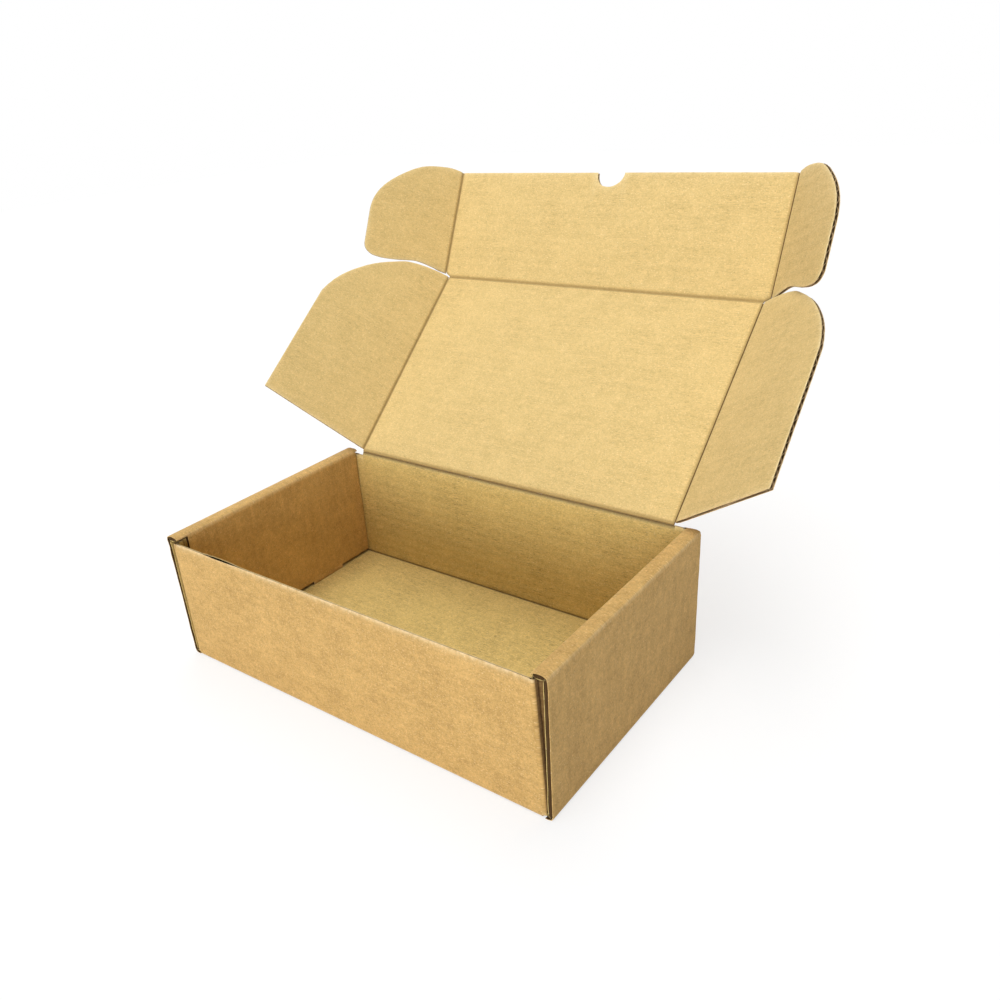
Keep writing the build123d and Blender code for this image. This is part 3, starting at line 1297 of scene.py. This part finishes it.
@dataclass
class Tray:
    """Floor, walls, ridges and dust flaps: the folded and locked part of the box.

    The fields named for flutes say how far in from a cut the medium is built, those named for
    pinch how far the cut is pressed together, and those named for ragged how rough it is.
    """

    papers: Sequence[bpy.types.Material]
    body: str = "tray"
    spine_join: float = 130.5
    corner_start: float = 1.25
    corner_run: float = 3.2
    corner_turn: float = 5.6
    corner_drift: float = 0.15
    lean_reach: float = 22.0
    least_lean: float = 0.03
    step_width: float = 0.5
    bump_x: float = -88.0
    bump_width: float = 13.0
    bump_rise: float = 1.4
    bump_lift: float = 0.5
    bump_reach: float = 5.0
    hinge_half: float = 0.85
    hinge_shade_reach: float = 3.0
    right_rear_end_height: float = 83.4
    column_step: float = 6.0
    row_step: float = 7.0
    front_flutes: float = 8.0
    rear_flutes: float = 9.0
    top_flutes: float = 7.0
    dust_flutes: float = 6.0
    top_pinch: float = 0.90
    top_pinch_reach: float = 1.5
    top_ragged: float = 0.22
    slot_ragged: float = 0.05
    side_ragged: float = 0.42
    inner_wall_ragged: float = 0.3
    side_pinch: float = 0.10
    dust_foot_gap: float = 0.4
    flap_bend_half: float = 0.9
    flap_bend_reach: float = 1.6

    @property
    def dust_middle(self) -> float:
        """x of a dust flap's middle."""
        return BOX.length / 2 - BOARD.thickness - BOX.ply_gap - BOARD.half

    @property
    def wall_middle(self) -> float:
        """y of the rear wall's middle, and of the front wall's on the other side."""
        return BOX.depth / 2 - BOARD.half

    @property
    def wall_end(self) -> float:
        """x where an end wall meets the corner of its dust flap."""
        return self.dust_middle - self.corner_start

    def taper(self, side: float, end: int) -> float:
        """How far the top of an end wall's end leans in.

        Args:
            side: Negative for the left, positive for the right.
            end: -1 at the front wall, 1 at the rear wall.

        Returns:
            The lean in millimetres at the top.
        """
        if end > 0:
            return BOX.left_end_taper / 2
        return BOX.right_end_taper if side > 0 else BOX.left_end_taper

    def rear_top(self, x: float) -> float:
        """Height of the rear wall: the hinge, then its lower ends.

        Args:
            x: Where it is read.

        Returns:
            The height.
        """
        hinge = BOX.hinge_height - CRADLE
        end = self.right_rear_end_height if x > 0 else BOX.rear_end_height
        beyond = abs(x) - BOX.lid_width / 2
        return hinge + (end - hinge) * min(1.0, max(0.0, beyond / self.step_width))

    def bump(self, x: float) -> float:
        """Where the front wall's inner liner has come loose, from 0 to 1."""
        return math.exp(-(((x - self.bump_x) / self.bump_width) ** 2))

    def spine_path(self) -> FoldPath:
        """Section of the rear wall, the floor and the front wall.

        Returns:
            Its middle line, from the hinge to the front wall's top.
        """
        y = self.wall_middle
        top = BOX.hinge_height - CRADLE
        corners = ((y, top), (y, BOARD.half), (-y, BOARD.half), (-y, BOX.front_height))
        return FoldPath(corners, FOLD.radius, -1)

    def add_spine(self, mesh: BoardMesh) -> None:
        """Adds the rear wall, floor and front wall, with the four tab slots.

        Args:
            mesh: Mesh that takes them.
        """
        path = self.spine_path()
        floor_start, floor_end = path.bends
        wall_end = self.wall_end
        full = path.total

        def surface(x: float, y: float) -> tuple[Vector, Vector]:
            """Point and normal on the spine, with the walls' ends leaning in.

            Args:
                x: Position along the box.
                y: Position along the spine's section.

            Returns:
                The point and the inward normal.
            """
            point, normal = path.at(y)
            end = 1 if point.x > 0 else -1
            rise = max(0.0, point.y - BOARD.half) / BOX.front_height
            near_end = smooth((abs(x) - wall_end + self.lean_reach) / self.lean_reach)
            lean = self.taper(x, end) * rise * near_end
            place = Vector((x - math.copysign(lean, x), point.x, point.y))
            return place, Vector((0.0, normal.x, normal.y))

        def low(x: float) -> float:
            """Top of the rear wall."""
            return BOX.hinge_height - CRADLE - self.rear_top(x)

        def high(x: float) -> float:
            """Top of the front wall."""
            return full + self.bump_rise * self.bump(x)

        def fold(x: float, y: float) -> FoldState:
            """State of the board beside the spine's folds and under the lid's hinge, where a band
            of painted shade lies below the crease.

            Args:
                x: Position along the box.
                y: Position along the spine's section.

            Returns:
                The state.
            """
            state = bent(path.bend_distance(y))
            if abs(x) > BOX.lid_width / 2:
                return state
            half = self.hinge_half
            half += (BOARD.half - self.hinge_half) * smooth(y / BOARD.shoulder)
            # Painted shade: a dark band below the hinge's crease, half as strong on the outer face.
            crease = 1.0 - smooth(y / self.hinge_shade_reach)
            return FoldState(
                min(state.inner, half),
                min(state.outer, half),
                max(state.inner_crease_shade, crease),
                max(state.outer_crease_shade, crease * 0.5),
                0.0,
                state.outer_wear,
            )

        def lift(x: float, y: float) -> float:
            """Height of the loose liner above the front wall."""
            return self.bump_lift * self.bump(x) * smooth(1.0 - (full - y) / self.bump_reach)

        slot_near = BOX.length / 2 - 3 * BOARD.thickness - 2 * BOX.ply_gap - BOX.slot_gap
        slot_far = slot_near + BOARD.thickness + 2 * BOX.slot_gap
        middle_y = (floor_start + floor_end) / 2
        reach = BOX.tab_length / 2 + BOX.slot_gap
        cuts = [middle_y + s * BOX.tab_centre + e * reach for s in (-1, 1) for e in (-1, 1)]
        rows = spread(0.0, full, self.row_step) + cuts
        rows += [bend + s * d for bend in path.bends for d in BEND_MARKS for s in (-1, 1)]
        rows += [e for d in EDGE_MARKS[1:] + (4.6,) for e in (d, full - d)]
        rows = merged(rows, 0.05)
        hinge_end = BOX.lid_width / 2
        breaks = [hinge_end, hinge_end + self.step_width / 2, hinge_end + self.step_width]
        start, end = -self.spine_join, self.spine_join
        floor = [(floor_start + 0.5, floor_end - 0.5)]
        whole = [(0.0, full)]
        slotted = [(0.0, cuts[0]), (cuts[1], cuts[2]), (cuts[3], full)]
        bands: list[tuple[float, float, list[Span]]] = [
            (start, -wall_end, floor),
            (-wall_end, -slot_far, whole),
            (-slot_far, -slot_near, slotted),
            (-slot_near, slot_near, whole),
            (slot_near, slot_far, slotted),
            (slot_far, wall_end, whole),
            (wall_end, end, floor),
        ]
        top = full - self.top_flutes
        phase = BOARD.pitch * 0.75 - math.fmod(full, BOARD.pitch)
        for near, far, stretches in bands:
            inside = [s * b for b in breaks for s in (-1, 1) if near < s * b < far]
            columns = merged(spread(near, far, self.column_step) + inside)
            for first, last in stretches:
                base = merged([first, last] + [y for y in rows if first < y < last], 0.03)
                to_hinge, to_top = first == 0.0, last == full
                panel = SpinePanel(
                    columns=columns,
                    low=low if to_hinge else lambda _x, y=first: y,
                    high=high if to_top else lambda _x, y=last: y,
                    surface=surface,
                    low_rim=Rim.CUT,
                    high_rim=Rim.CUT,
                    near_rim=Rim.JOINED,
                    far_rim=Rim.JOINED,
                    fold=fold,
                    fluted=((top, full),) if to_top else (),
                    offset=(400.0, phase),
                    ragged=self.top_ragged if to_top else self.slot_ragged,
                    pinch=self.top_pinch if to_top else BOARD.pinch,
                    pinch_reach=self.top_pinch_reach if to_top else BOARD.pinch_reach,
                    lift=lift if to_top else None,
                    base=tuple(base),
                )
                panel.build(mesh)

    def side_path(self) -> FoldPath:
        """Section of an outer wall, its ridge and its inner wall, for the right side.

        Returns:
            Its middle line, from the floor to the inner wall's foot.
        """
        outer = BOX.length / 2 - BOARD.half
        inner = outer - 2 * BOARD.thickness - 2 * BOX.ply_gap
        ridge = BOX.side_height - BOARD.half
        foot = BOARD.thickness + BOX.inner_wall_rise
        corners = (
            (self.spine_join, BOARD.half),
            (outer, BOARD.half),
            (outer, ridge),
            (inner, ridge),
            (inner, foot),
        )
        return FoldPath(corners, FOLD.radius, 1)

    def add_side(self, mesh: BoardMesh, side: Side) -> None:
        """Adds one rolled side: outer wall, ridge, inner wall and tabs.

        Args:
            mesh: Mesh that takes it.
            side: Left or right.
        """
        path = self.side_path()
        front = -BOX.depth / 2
        rear = BOX.depth / 2
        wall_front = front + BOARD.thickness + BOX.inner_wall_front_setback
        wall_rear = rear - BOARD.thickness - BOX.inner_wall_rear_setback
        wall_flutes = self.top_flutes
        turn = path.bends[2] + BEND_MARKS[2]
        stations = path.stations(self.column_step)

        def surface(x: float, y: float) -> tuple[Vector, Vector]:
            """Point and normal on the rolled side.

            Args:
                x: Position along the side's section.
                y: Position from front to rear.

            Returns:
                The point and the inward normal.
            """
            point, normal = path.at(x)
            if x > path.total:
                point = point - Vector((0.0, x - path.total))
            place = Vector((side.value * point.x, y, point.y))
            return place, Vector((side.value * normal.x, 0.0, normal.y))

        def low(x: float) -> float:
            """Front edge."""
            return front + BOX.side_front_setback if x <= turn else wall_front

        def high(x: float) -> float:
            """Rear edge."""
            return rear - BOX.side_rear_setback if x <= turn else wall_rear

        def fold(x: float, _y: float) -> FoldState:
            """State of the board beside the section's folds, with no marks on the ridge's top.

            Args:
                x: Position along the side's section.
                _y: Position from front to rear, not used.

            Returns:
                The state.
            """
            state = bent(path.bend_distance(x))
            if not path.bends[1] < x < path.bends[2]:
                return state
            return FoldState(state.inner, state.outer, state.inner_crease_shade)

        phase = BOARD.pitch * 100.25 - front - BOX.side_front_setback
        offset = (100.0 * side.value, phase)
        outer = Panel(
            columns=merged([s for s in stations if s <= turn] + [turn]),
            low=low,
            high=high,
            surface=surface,
            near_rim=Rim.JOINED,
            far_rim=Rim.JOINED,
            fold=fold,
            fluted=((front, front + self.front_flutes), (rear - self.rear_flutes, rear)),
            offset=offset,
            ragged=self.side_ragged,
            pinch=self.side_pinch,
            wear=0.0,
        )
        outer.build(mesh)
        inner = Panel(
            columns=merged([turn] + [s for s in stations if s > turn]),
            low=lambda _x: wall_front,
            high=lambda _x: wall_rear,
            surface=surface,
            near_rim=Rim.JOINED,
            fold=fold,
            fluted=((wall_front, wall_front + wall_flutes), (wall_rear - wall_flutes, wall_rear)),
            offset=offset,
            ragged=self.inner_wall_ragged,
            pinch=self.side_pinch,
            wear=0.0,
            warp=0.5,
        )
        inner.build(mesh)
        foot = BOARD.thickness + BOX.inner_wall_rise
        for row in (-1, 1):
            first = row * BOX.tab_centre - BOX.tab_length / 2
            last = row * BOX.tab_centre + BOX.tab_length / 2
            tab = Panel(
                columns=spread(path.total, path.total + foot - BOX.slot_gap, 1.0),
                low=lambda _x, edge=first: edge,
                high=lambda _x, edge=last: edge,
                surface=surface,
                near_rim=Rim.JOINED,
                fluted=((first, last),),
                offset=offset,
            )
            tab.build(mesh)

    def dust_path(self, side: Side, end: int, z: float) -> FoldPath:
        """Plan of a dust flap at one height, as if at the right front corner.

        Args:
            side: Left or right.
            end: -1 at the front wall, 1 at the rear wall.
            z: Height in millimetres.

        Returns:
            Its middle line, from the end wall, round the corner and along the side wall.
        """
        rise = max(0.0, z - BOARD.half) / BOX.front_height
        pull = max(self.least_lean, self.taper(side.value, end) * rise)
        corner_x = self.dust_middle - pull
        y = -self.wall_middle
        corners = (
            (corner_x - self.corner_start, y),
            (corner_x, y),
            (corner_x, y + self.corner_run),
            (self.dust_middle, y + self.corner_turn + pull * self.corner_drift),
            (self.dust_middle, -BOX.depth / 2 + BOX.dust_length),
        )
        return FoldPath(corners, FOLD.radius, 1)

    def add_dust_flap(self, mesh: BoardMesh, side: Side, end: int) -> None:
        """Adds one dust flap with the corner that joins it to its end wall.

        Args:
            mesh: Mesh that takes it.
            side: Left or right.
            end: -1 at the front wall, 1 at the rear wall.
        """
        rear_height = self.right_rear_end_height if side is Side.RIGHT else BOX.rear_end_height
        height = BOX.front_height if end < 0 else rear_height
        paths: dict[float, FoldPath] = {}

        def path_at(z: float) -> FoldPath:
            """Plan of the flap at one height, worked out once for each height.

            Args:
                z: Height in millimetres.

            Returns:
                The plan's middle line.
            """
            key = round(z, 3)
            if key not in paths:
                paths[key] = self.dust_path(side, end, z)
            return paths[key]

        def surface(x: float, y: float) -> tuple[Vector, Vector]:
            """Point and normal of the flap.

            Args:
                x: Part of the plan, from 0 at the end wall to 7 at the flap's end.
                y: Height in millimetres.

            Returns:
                The point and the inward normal.
            """
            path = path_at(y)
            point, normal = path.at(path.part_station(x))
            place = Vector((side.value * point.x, -end * point.y, y))
            return place, Vector((side.value * normal.x, -end * normal.y, 0.0))

        def along(x: float, y: float) -> float:
            """Distance from the corner, for the paper's grain."""
            return path_at(y).part_station(x)

        def fold(x: float, y: float) -> FoldState:
            """State of the board beside the corner and the two smaller bends, with painted shade on
            the outer face past the corner, in the slot behind the end wall.

            Args:
                x: Part of the plan, from 0 at the end wall to 7 at the flap's end.
                y: Height in millimetres.

            Returns:
                The state.
            """
            path = path_at(y)
            station = path.part_station(x)
            state = bent(abs(station - path.bends[0]))
            later = min(abs(station - bend) for bend in path.bends[1:])
            half = self.flap_bend_half
            half += (BOARD.half - self.flap_bend_half) * smooth(later / self.flap_bend_reach)
            # Painted shade: the outer face past the corner gets the crease colour for the shaded
            # slot between end wall and outer wall.
            shade = smooth((x - 1.6) / 0.5)
            if x > 2.5 and later < self.flap_bend_reach:
                return FoldState(half, half, 0.3, shade)
            outer_crease_shade = max(state.outer_crease_shade, shade)
            return FoldState(state.inner, state.outer, state.inner_crease_shade, outer_crease_shade)

        shares = [0.0, 0.4, 0.8, 1.0, 1.25, 1.5, 1.75, 2.0, 2.05, 2.15, 2.3, 2.5, 2.75]
        shares += [3.0, 3.25, 3.5, 3.75, 4.0, 4.2, 4.4, 4.6, 4.8, 5.0, 5.5]
        shares += [6.0, 6.01, 6.03, 6.06, 6.1, 6.2, 6.35, 6.5, 6.65, 6.8, 6.92, 6.97, 6.99, 7.0]
        bottom = BOARD.thickness + self.dust_foot_gap
        phase = BOARD.pitch * 0.75 - math.fmod(height, BOARD.pitch)
        flap = Panel(
            columns=merged([min(x, 6.9999) for x in shares]),
            low=lambda x: BOARD.half + FOLD.radius if x < 1.99 else bottom,
            high=lambda _x: height,
            surface=surface,
            near_rim=Rim.JOINED,
            far_rim=Rim.JOINED,
            fold=fold,
            fluted=((height - self.dust_flutes, height),),
            offset=(650.0 + 60.0 * side.value, phase),
            board_x=along,
            row_step=5.0,
        )
        flap.build(mesh)

    def build(self) -> list[bpy.types.Object]:
        """Builds and places the tray's pieces.

        Returns:
            The tray's objects.
        """
        pieces: list[bpy.types.Object] = []
        spine = BoardMesh()
        self.add_spine(spine)
        pieces.append(spine.make_object("tray_floor_and_end_walls", self.papers))
        for side in Side:
            rolled = BoardMesh()
            self.add_side(rolled, side)
            pieces.append(rolled.make_object(f"tray_{side.word}_rolled_side", self.papers))
            flaps = BoardMesh()
            for end in (-1, 1):
                self.add_dust_flap(flaps, side, end)
            pieces.append(flaps.make_object(f"tray_{side.word}_dust_flaps", self.papers))
        for piece in pieces:
            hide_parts("tray")
            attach(piece, self.body)
        return pieces


@dataclass
class Lid:
    """Lid panel and its two side flaps.

    The flaps' front curve is given as shares of their width and of the lid's length.
    """

    papers: Sequence[bpy.types.Material]
    column_step: float = 6.0
    flap_column_step: float = 2.6
    flap_inset: float = 0.05
    flap_curve: tuple[Span, ...] = (
        (0.232, 0.981),
        (0.387, 0.959),
        (0.516, 0.918),
        (0.652, 0.863),
        (0.774, 0.795),
        (0.865, 0.728),
        (0.923, 0.665),
        (0.955, 0.608),
    )

    def frame(self) -> Matrix:
        """Place of the lid's flat frame.

        Returns:
            The frame, in millimetres, with x along the hinge and y away from it.
        """
        hinge_y = BOX.depth / 2 - BOARD.half
        move = Matrix.Translation((0.0, hinge_y, BOX.hinge_height))
        return move @ Matrix.Rotation(math.radians(BOX.lid_angle), 4, "X")

    def tuck_frame(self) -> Matrix:
        """Place of the tuck flap's flat frame."""
        move = Matrix.Translation((0.0, BOX.lid_length, 0.0))
        return self.frame() @ move @ Matrix.Rotation(math.radians(BOX.tuck_fold), 4, "X")

    @staticmethod
    def hung(base: Matrix, spacing: float, side: Side, fold: float) -> Matrix:
        """Place of a flap on the side of a panel.

        Args:
            base: The panel's frame.
            spacing: Distance between the panel's two folds.
            side: Left or right.
            fold: How far the flap is folded in, in degrees.

        Returns:
            The flap's frame, in millimetres.
        """
        move = Matrix.Translation((side.value * spacing / 2, 0.0, 0.0))
        return base @ move @ Matrix.Rotation(math.radians(-side.value * fold), 4, "Y")

    def build_panel(self) -> bpy.types.Object:
        """Builds the lid panel.

        Returns:
            The piece.
        """
        half = BOX.lid_width / 2
        start, end = -half + CRADLE, half - CRADLE
        close = beside(start) + beside(end, -1)
        frame = self.frame()
        mesh = BoardMesh()
        panel = Panel(
            columns=merged(spread(start, end, self.column_step) + close),
            low=lambda _x: 0.0,
            high=lambda _x: BOX.lid_length - CRADLE,
            cradle=True,
            surface=flat_surface(frame),
            low_rim=Rim.CREASE,
            high_rim=Rim.CREASE,
            near_rim=Rim.CREASE,
            far_rim=Rim.CREASE,
            offset=(0.0, 250.0),
            warp=0.7,
        )
        panel.build(mesh)
        mesh.add_roll(frame @ Vector((start, 0.0, 0.0)), frame @ Vector((end, 0.0, 0.0)))
        return mesh.make_object("lid_panel", self.papers)

    def build_flap(self, side: Side) -> bpy.types.Object:
        """Builds one side flap of the lid.

        Args:
            side: Left or right.

        Returns:
            The piece.
        """
        fold = BOX.left_flap_fold if side is Side.LEFT else BOX.right_flap_fold
        width = BOX.flap_width
        length = BOX.lid_length
        front = length - BOX.flap_end_gap
        curve = [(0.0, front + 1.0), (width * 0.103, front + 0.5)]
        curve += [(width * across, length * along) for across, along in self.flap_curve]
        shoulder, shoulder_y = curve[-1]
        last = width - self.flap_inset

        def high(x: float) -> float:
            """Front curve, then the outer edge.

            Args:
                x: Distance from the flap's fold.

            Returns:
                How far the flap reaches from the hinge.
            """
            if x <= shoulder:
                return curve_height(curve, x)
            share = min(1.0, (x - shoulder) / (last - shoulder))
            return shoulder_y + (BOX.flap_rear_rise + 0.6 - shoulder_y) * share

        def low(x: float) -> float:
            """Rear edge."""
            return BOX.flap_root_gap + (BOX.flap_rear_rise - BOX.flap_root_gap) * x / width

        late = [shoulder - 0.4, shoulder, shoulder + 0.4]
        late += [width - d for d in (2.9, 2.4, 1.9, 1.4, 0.9, 0.5, 0.2)]
        frame = self.hung(self.frame(), BOX.lid_width, side, fold)
        mesh = BoardMesh()
        panel = Panel(
            columns=merged(spread(0.0, last, self.flap_column_step) + beside(0.0) + late, 0.08),
            low=low,
            high=high,
            surface=flat_surface(frame, side.value),
            near_rim=Rim.CREASE,
            fluted=((1.5, front - 0.4),),
            offset=(120.0 * side.value, 250.0),
            warp=1.0,
            row_step=6.0,
        )
        panel.build(mesh)
        ends = (frame @ Vector((0.0, 1.0, 0.0)), frame @ Vector((0.0, front, 0.0)))
        mesh.add_roll(ends[0], ends[1])
        return mesh.make_object(f"lid_{side.word}_side_flap", self.papers)

    def build(self) -> list[bpy.types.Object]:
        """Builds and places the lid's pieces.

        Returns:
            The lid's objects.
        """
        panel = self.build_panel()
        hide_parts("lid")
        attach(panel, "lid")
        pieces = [panel]
        for side in Side:
            flap = self.build_flap(side)
            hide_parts(f"lid_{side.word}_flap")
            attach(flap, f"lid_{side.word}_flap")
            pieces.append(flap)
        return pieces


@dataclass
class TuckFlap:
    """Tuck flap with its thumb notch and two ears.

    The ears' far and near curves are given as shares of their width and height.
    """

    papers: Sequence[bpy.types.Material]
    lid: Lid
    column_step: float = 6.0
    notch_column_step: float = 1.2
    ear_column_step: float = 2.4
    notch_powers: Span = (2.9, 1.7)
    edge_flutes: float = 17.0
    ear_top: tuple[Span, ...] = (
        (0.290, 1.004),
        (0.452, 0.974),
        (0.581, 0.922),
        (0.694, 0.858),
        (0.806, 0.782),
        (0.903, 0.695),
        (0.968, 0.600),
        (0.994, 0.521),
        (1.0, 0.470),
    )
    ear_bottom: tuple[Span, ...] = (
        (0.0, 0.027),
        (0.080, 0.036),
        (0.161, 0.056),
        (0.371, 0.083),
        (0.613, 0.055),
        (0.774, 0.044),
        (0.887, 0.052),
        (0.960, 0.083),
        (0.990, 0.116),
        (1.0, 0.145),
    )

    def notch(self, x: float) -> float:
        """Depth of the thumb notch, steeper on its left.

        Args:
            x: Distance from the notch's middle.

        Returns:
            How far the flap's edge is cut back.
        """
        half = BOX.notch_width / 2
        if abs(x) >= half:
            return 0.0
        power = self.notch_powers[0] if x < 0 else self.notch_powers[1]
        return BOX.notch_depth * math.sqrt(max(0.0, 1.0 - abs(x / half) ** power))

    def build_panel(self) -> bpy.types.Object:
        """Builds the tuck flap.

        Returns:
            The piece.
        """
        half = BOX.ear_spacing / 2
        start, end = -half + CRADLE, half - CRADLE
        root = BOX.lid_width / 2 - CRADLE
        close = beside(start) + beside(end, -1)
        bite = BOX.notch_width / 2
        close += [s * (bite - d) for s in (-1, 1) for d in (0.0, 0.02, 0.1, 0.3, 0.6, 1.1, 1.8)]
        close += spread(-bite, bite, self.notch_column_step)

        def low(x: float) -> float:
            """Crease side, relieved at its two corners."""
            return BOX.tuck_relief * max(0.0, abs(x) - root) / (half - CRADLE - root)

        frame = self.lid.tuck_frame()
        mesh = BoardMesh()
        panel = Panel(
            columns=merged(spread(start, end, self.column_step) + close, 0.01),
            low=low,
            high=lambda x: BOX.tuck_length - self.notch(x),
            surface=flat_surface(frame),
            low_rim=Rim.CREASE,
            near_rim=Rim.CREASE,
            far_rim=Rim.CREASE,
            fluted=((BOX.tuck_length - self.edge_flutes, BOX.tuck_length - 0.2),),
            offset=(0.0, BOARD.pitch * 60.75 - BOX.tuck_length),
            warp=0.6,
        )
        panel.build(mesh)
        ends = (frame @ Vector((-root, 0.0, 0.0)), frame @ Vector((root, 0.0, 0.0)))
        mesh.add_roll(ends[0], ends[1])
        return mesh.make_object("tuck_panel", self.papers)

    def build_ear(self, side: Side) -> bpy.types.Object:
        """Builds one ear.

        Args:
            side: Left or right.

        Returns:
            The piece.
        """
        fold = BOX.left_ear_fold if side is Side.LEFT else BOX.right_ear_fold
        width = BOX.ear_width
        height = BOX.tuck_length
        top = [(0.0, height), (width * 0.065, height + BOX.ear_crown * 0.7)]
        top += [(width * 0.161, height + BOX.ear_crown)]
        top += [(width * across, height * along) for across, along in self.ear_top]
        bottom = [(width * across, height * along) for across, along in self.ear_bottom]
        late = [width - d for d in (4.2, 3.3, 2.6, 2.0, 1.5, 1.0, 0.6, 0.3, 0.1)]
        frame = self.lid.hung(self.lid.tuck_frame(), BOX.ear_spacing, side, fold)
        mesh = BoardMesh()
        panel = Panel(
            columns=merged(spread(0.0, width, self.ear_column_step) + beside(0.0) + late, 0.05),
            low=lambda x: curve_height(bottom, x),
            high=lambda x: curve_height(top, x),
            surface=flat_surface(frame, side.value),
            near_rim=Rim.CREASE,
            fluted=((height * 0.046, height + BOX.ear_crown - 0.3),),
            offset=(120.0 * side.value, 400.0),
            warp=0.7,
            row_step=5.0,
        )
        panel.build(mesh)
        ends = (frame @ Vector((0.0, height * 0.045, 0.0)), frame @ Vector((0.0, height, 0.0)))
        mesh.add_roll(ends[0], ends[1])
        return mesh.make_object(f"tuck_{side.word}_ear", self.papers)

    def build(self) -> list[bpy.types.Object]:
        """Builds and places the tuck flap's pieces.

        Returns:
            The tuck flap's objects.
        """
        panel = self.build_panel()
        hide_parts("tuck_flap")
        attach(panel, "tuck_flap")
        pieces = [panel]
        for side in Side:
            ear = self.build_ear(side)
            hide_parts(f"{side.word}_ear")
            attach(ear, f"{side.word}_ear")
            pieces.append(ear)
        return pieces


@dataclass(frozen=True)
class SoftLamp:
    """One wide, far and even lamp of the studio."""

    name: str
    toward: tuple[float, float, float]
    strength: float
    width: float = 34.0
    def make(self) -> bpy.types.Object:
        """Adds the lamp.

        Returns:
            The lamp.
        """
        data = bpy.data.lights.new(self.name, "SUN")
        data.energy = self.strength
        data.angle = math.radians(self.width)
        lamp = bpy.data.objects.new(self.name, data)
        bpy.context.scene.collection.objects.link(lamp)
        lamp.rotation_euler = Vector(self.toward).to_track_quat("Z", "Y").to_euler()
        return lamp


@dataclass
class Studio:
    """Floor, light and camera, in metres."""

    camera_place: tuple[float, float, float] = (0.30680, -0.33746, 0.31664)
    camera_heading: tuple[float, float, float] = (-0.56201, 0.68368, -0.46554)
    camera_right: tuple[float, float, float] = (0.79443, 0.60286, -0.07372)
    lens: float = 32.013
    shift: Span = (0.03678, 0.04078)
    near_clip: float = 0.01
    floor_reach: float = 3.0
    ambient: float = 0.23
    lamps: tuple[SoftLamp, ...] = (
        SoftLamp("front_lamp", (0.0, -1.0, 0.08), 1.60),
        SoftLamp("front_right_lamp", (0.40, -0.90, 0.12), 0.76),
        SoftLamp("overhead_lamp", (0.0, -0.20, 0.98), 1.20),
        SoftLamp("top_lamp", (-0.20, 0.30, 0.93), 0.86),
        SoftLamp("back_lamp", (-0.70, 0.65, 0.15), 0.90),
    )

    def add_floor(self) -> bpy.types.Object:
        """Adds the pale floor.

        Returns:
            The floor.
        """
        mesh = bpy.data.meshes.new("studio_floor")
        reach = self.floor_reach
        corners = [(-reach, -reach, 0.0), (reach, -reach, 0.0), (reach, reach, 0.0)]
        corners.append((-reach, reach, 0.0))
        mesh.from_pydata(corners, [], [(0, 1, 2, 3)])
        mesh.materials.append(StudioFloor().make())
        floor = bpy.data.objects.new("studio_floor", mesh)
        bpy.context.scene.collection.objects.link(floor)
        return floor

    def add_lights(self) -> None:
        """Adds the soft lamps and the ambient light, which looks white to the camera."""
        for lamp in self.lamps:
            lamp.make()
        world = bpy.data.worlds.new("studio_world")
        bpy.context.scene.world = world
        world.use_nodes = True
        tree = world.node_tree
        tree.nodes.clear()
        output = tree.nodes.new("ShaderNodeOutputWorld")
        path = tree.nodes.new("ShaderNodeLightPath")
        either = tree.nodes.new("ShaderNodeMath")
        either.operation = "MAXIMUM"
        tree.links.new(path.outputs["Is Camera Ray"], either.inputs[0])
        tree.links.new(path.outputs["Is Glossy Ray"], either.inputs[1])
        mix = tree.nodes.new("ShaderNodeMixShader")
        tree.links.new(either.outputs["Value"], mix.inputs[0])
        for place, strength in ((1, self.ambient), (2, 1.0)):
            light = tree.nodes.new("ShaderNodeBackground")
            light.inputs["Color"].default_value = (1.0, 1.0, 1.0, 1.0)
            light.inputs["Strength"].default_value = strength
            tree.links.new(light.outputs["Background"], mix.inputs[place])
        tree.links.new(mix.outputs["Shader"], output.inputs["Surface"])

    def add_camera(self) -> bpy.types.Object:
        """Adds the camera at the photographed angle.

        Returns:
            The camera.
        """
        data = bpy.data.cameras.new("camera")
        data.sensor_width = 36.0
        data.sensor_fit = "HORIZONTAL"
        data.lens = self.lens
        data.shift_x, data.shift_y = self.shift
        data.clip_start = self.near_clip
        camera = bpy.data.objects.new("camera", data)
        bpy.context.scene.collection.objects.link(camera)
        heading = Vector(self.camera_heading).normalized()
        right = Vector(self.camera_right).normalized()
        turn = Matrix((right, right.cross(heading), -heading)).transposed().to_4x4()
        camera.matrix_world = Matrix.Translation(self.camera_place) @ turn
        bpy.context.scene.camera = camera
        return camera


def main() -> None:
    """Builds the box around the loaded frame."""
    logging.basicConfig(level=logging.INFO, format="%(message)s")
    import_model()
    studio = Studio()
    studio.add_camera()
    studio.add_lights()
    studio.add_floor()
    bpy.context.scene.view_settings.view_transform = "Standard"
    papers = (OUTER_LINER.make(), INNER_LINER.make(), FlutingPaper().make())
    # The tray's inside takes the shaded copy of the inner liner: painted shade.
    tray_papers = (papers[0], SHADED_TRAY_LINER.make(), papers[2])
    lid = Lid(papers)
    pieces = Tray(tray_papers).build() + lid.build() + TuckFlap(papers, lid).build()
    for piece in pieces:
        log.info("%s: %d faces", piece.name, len(piece.data.polygons))


if __name__ == "__main__":
    main()
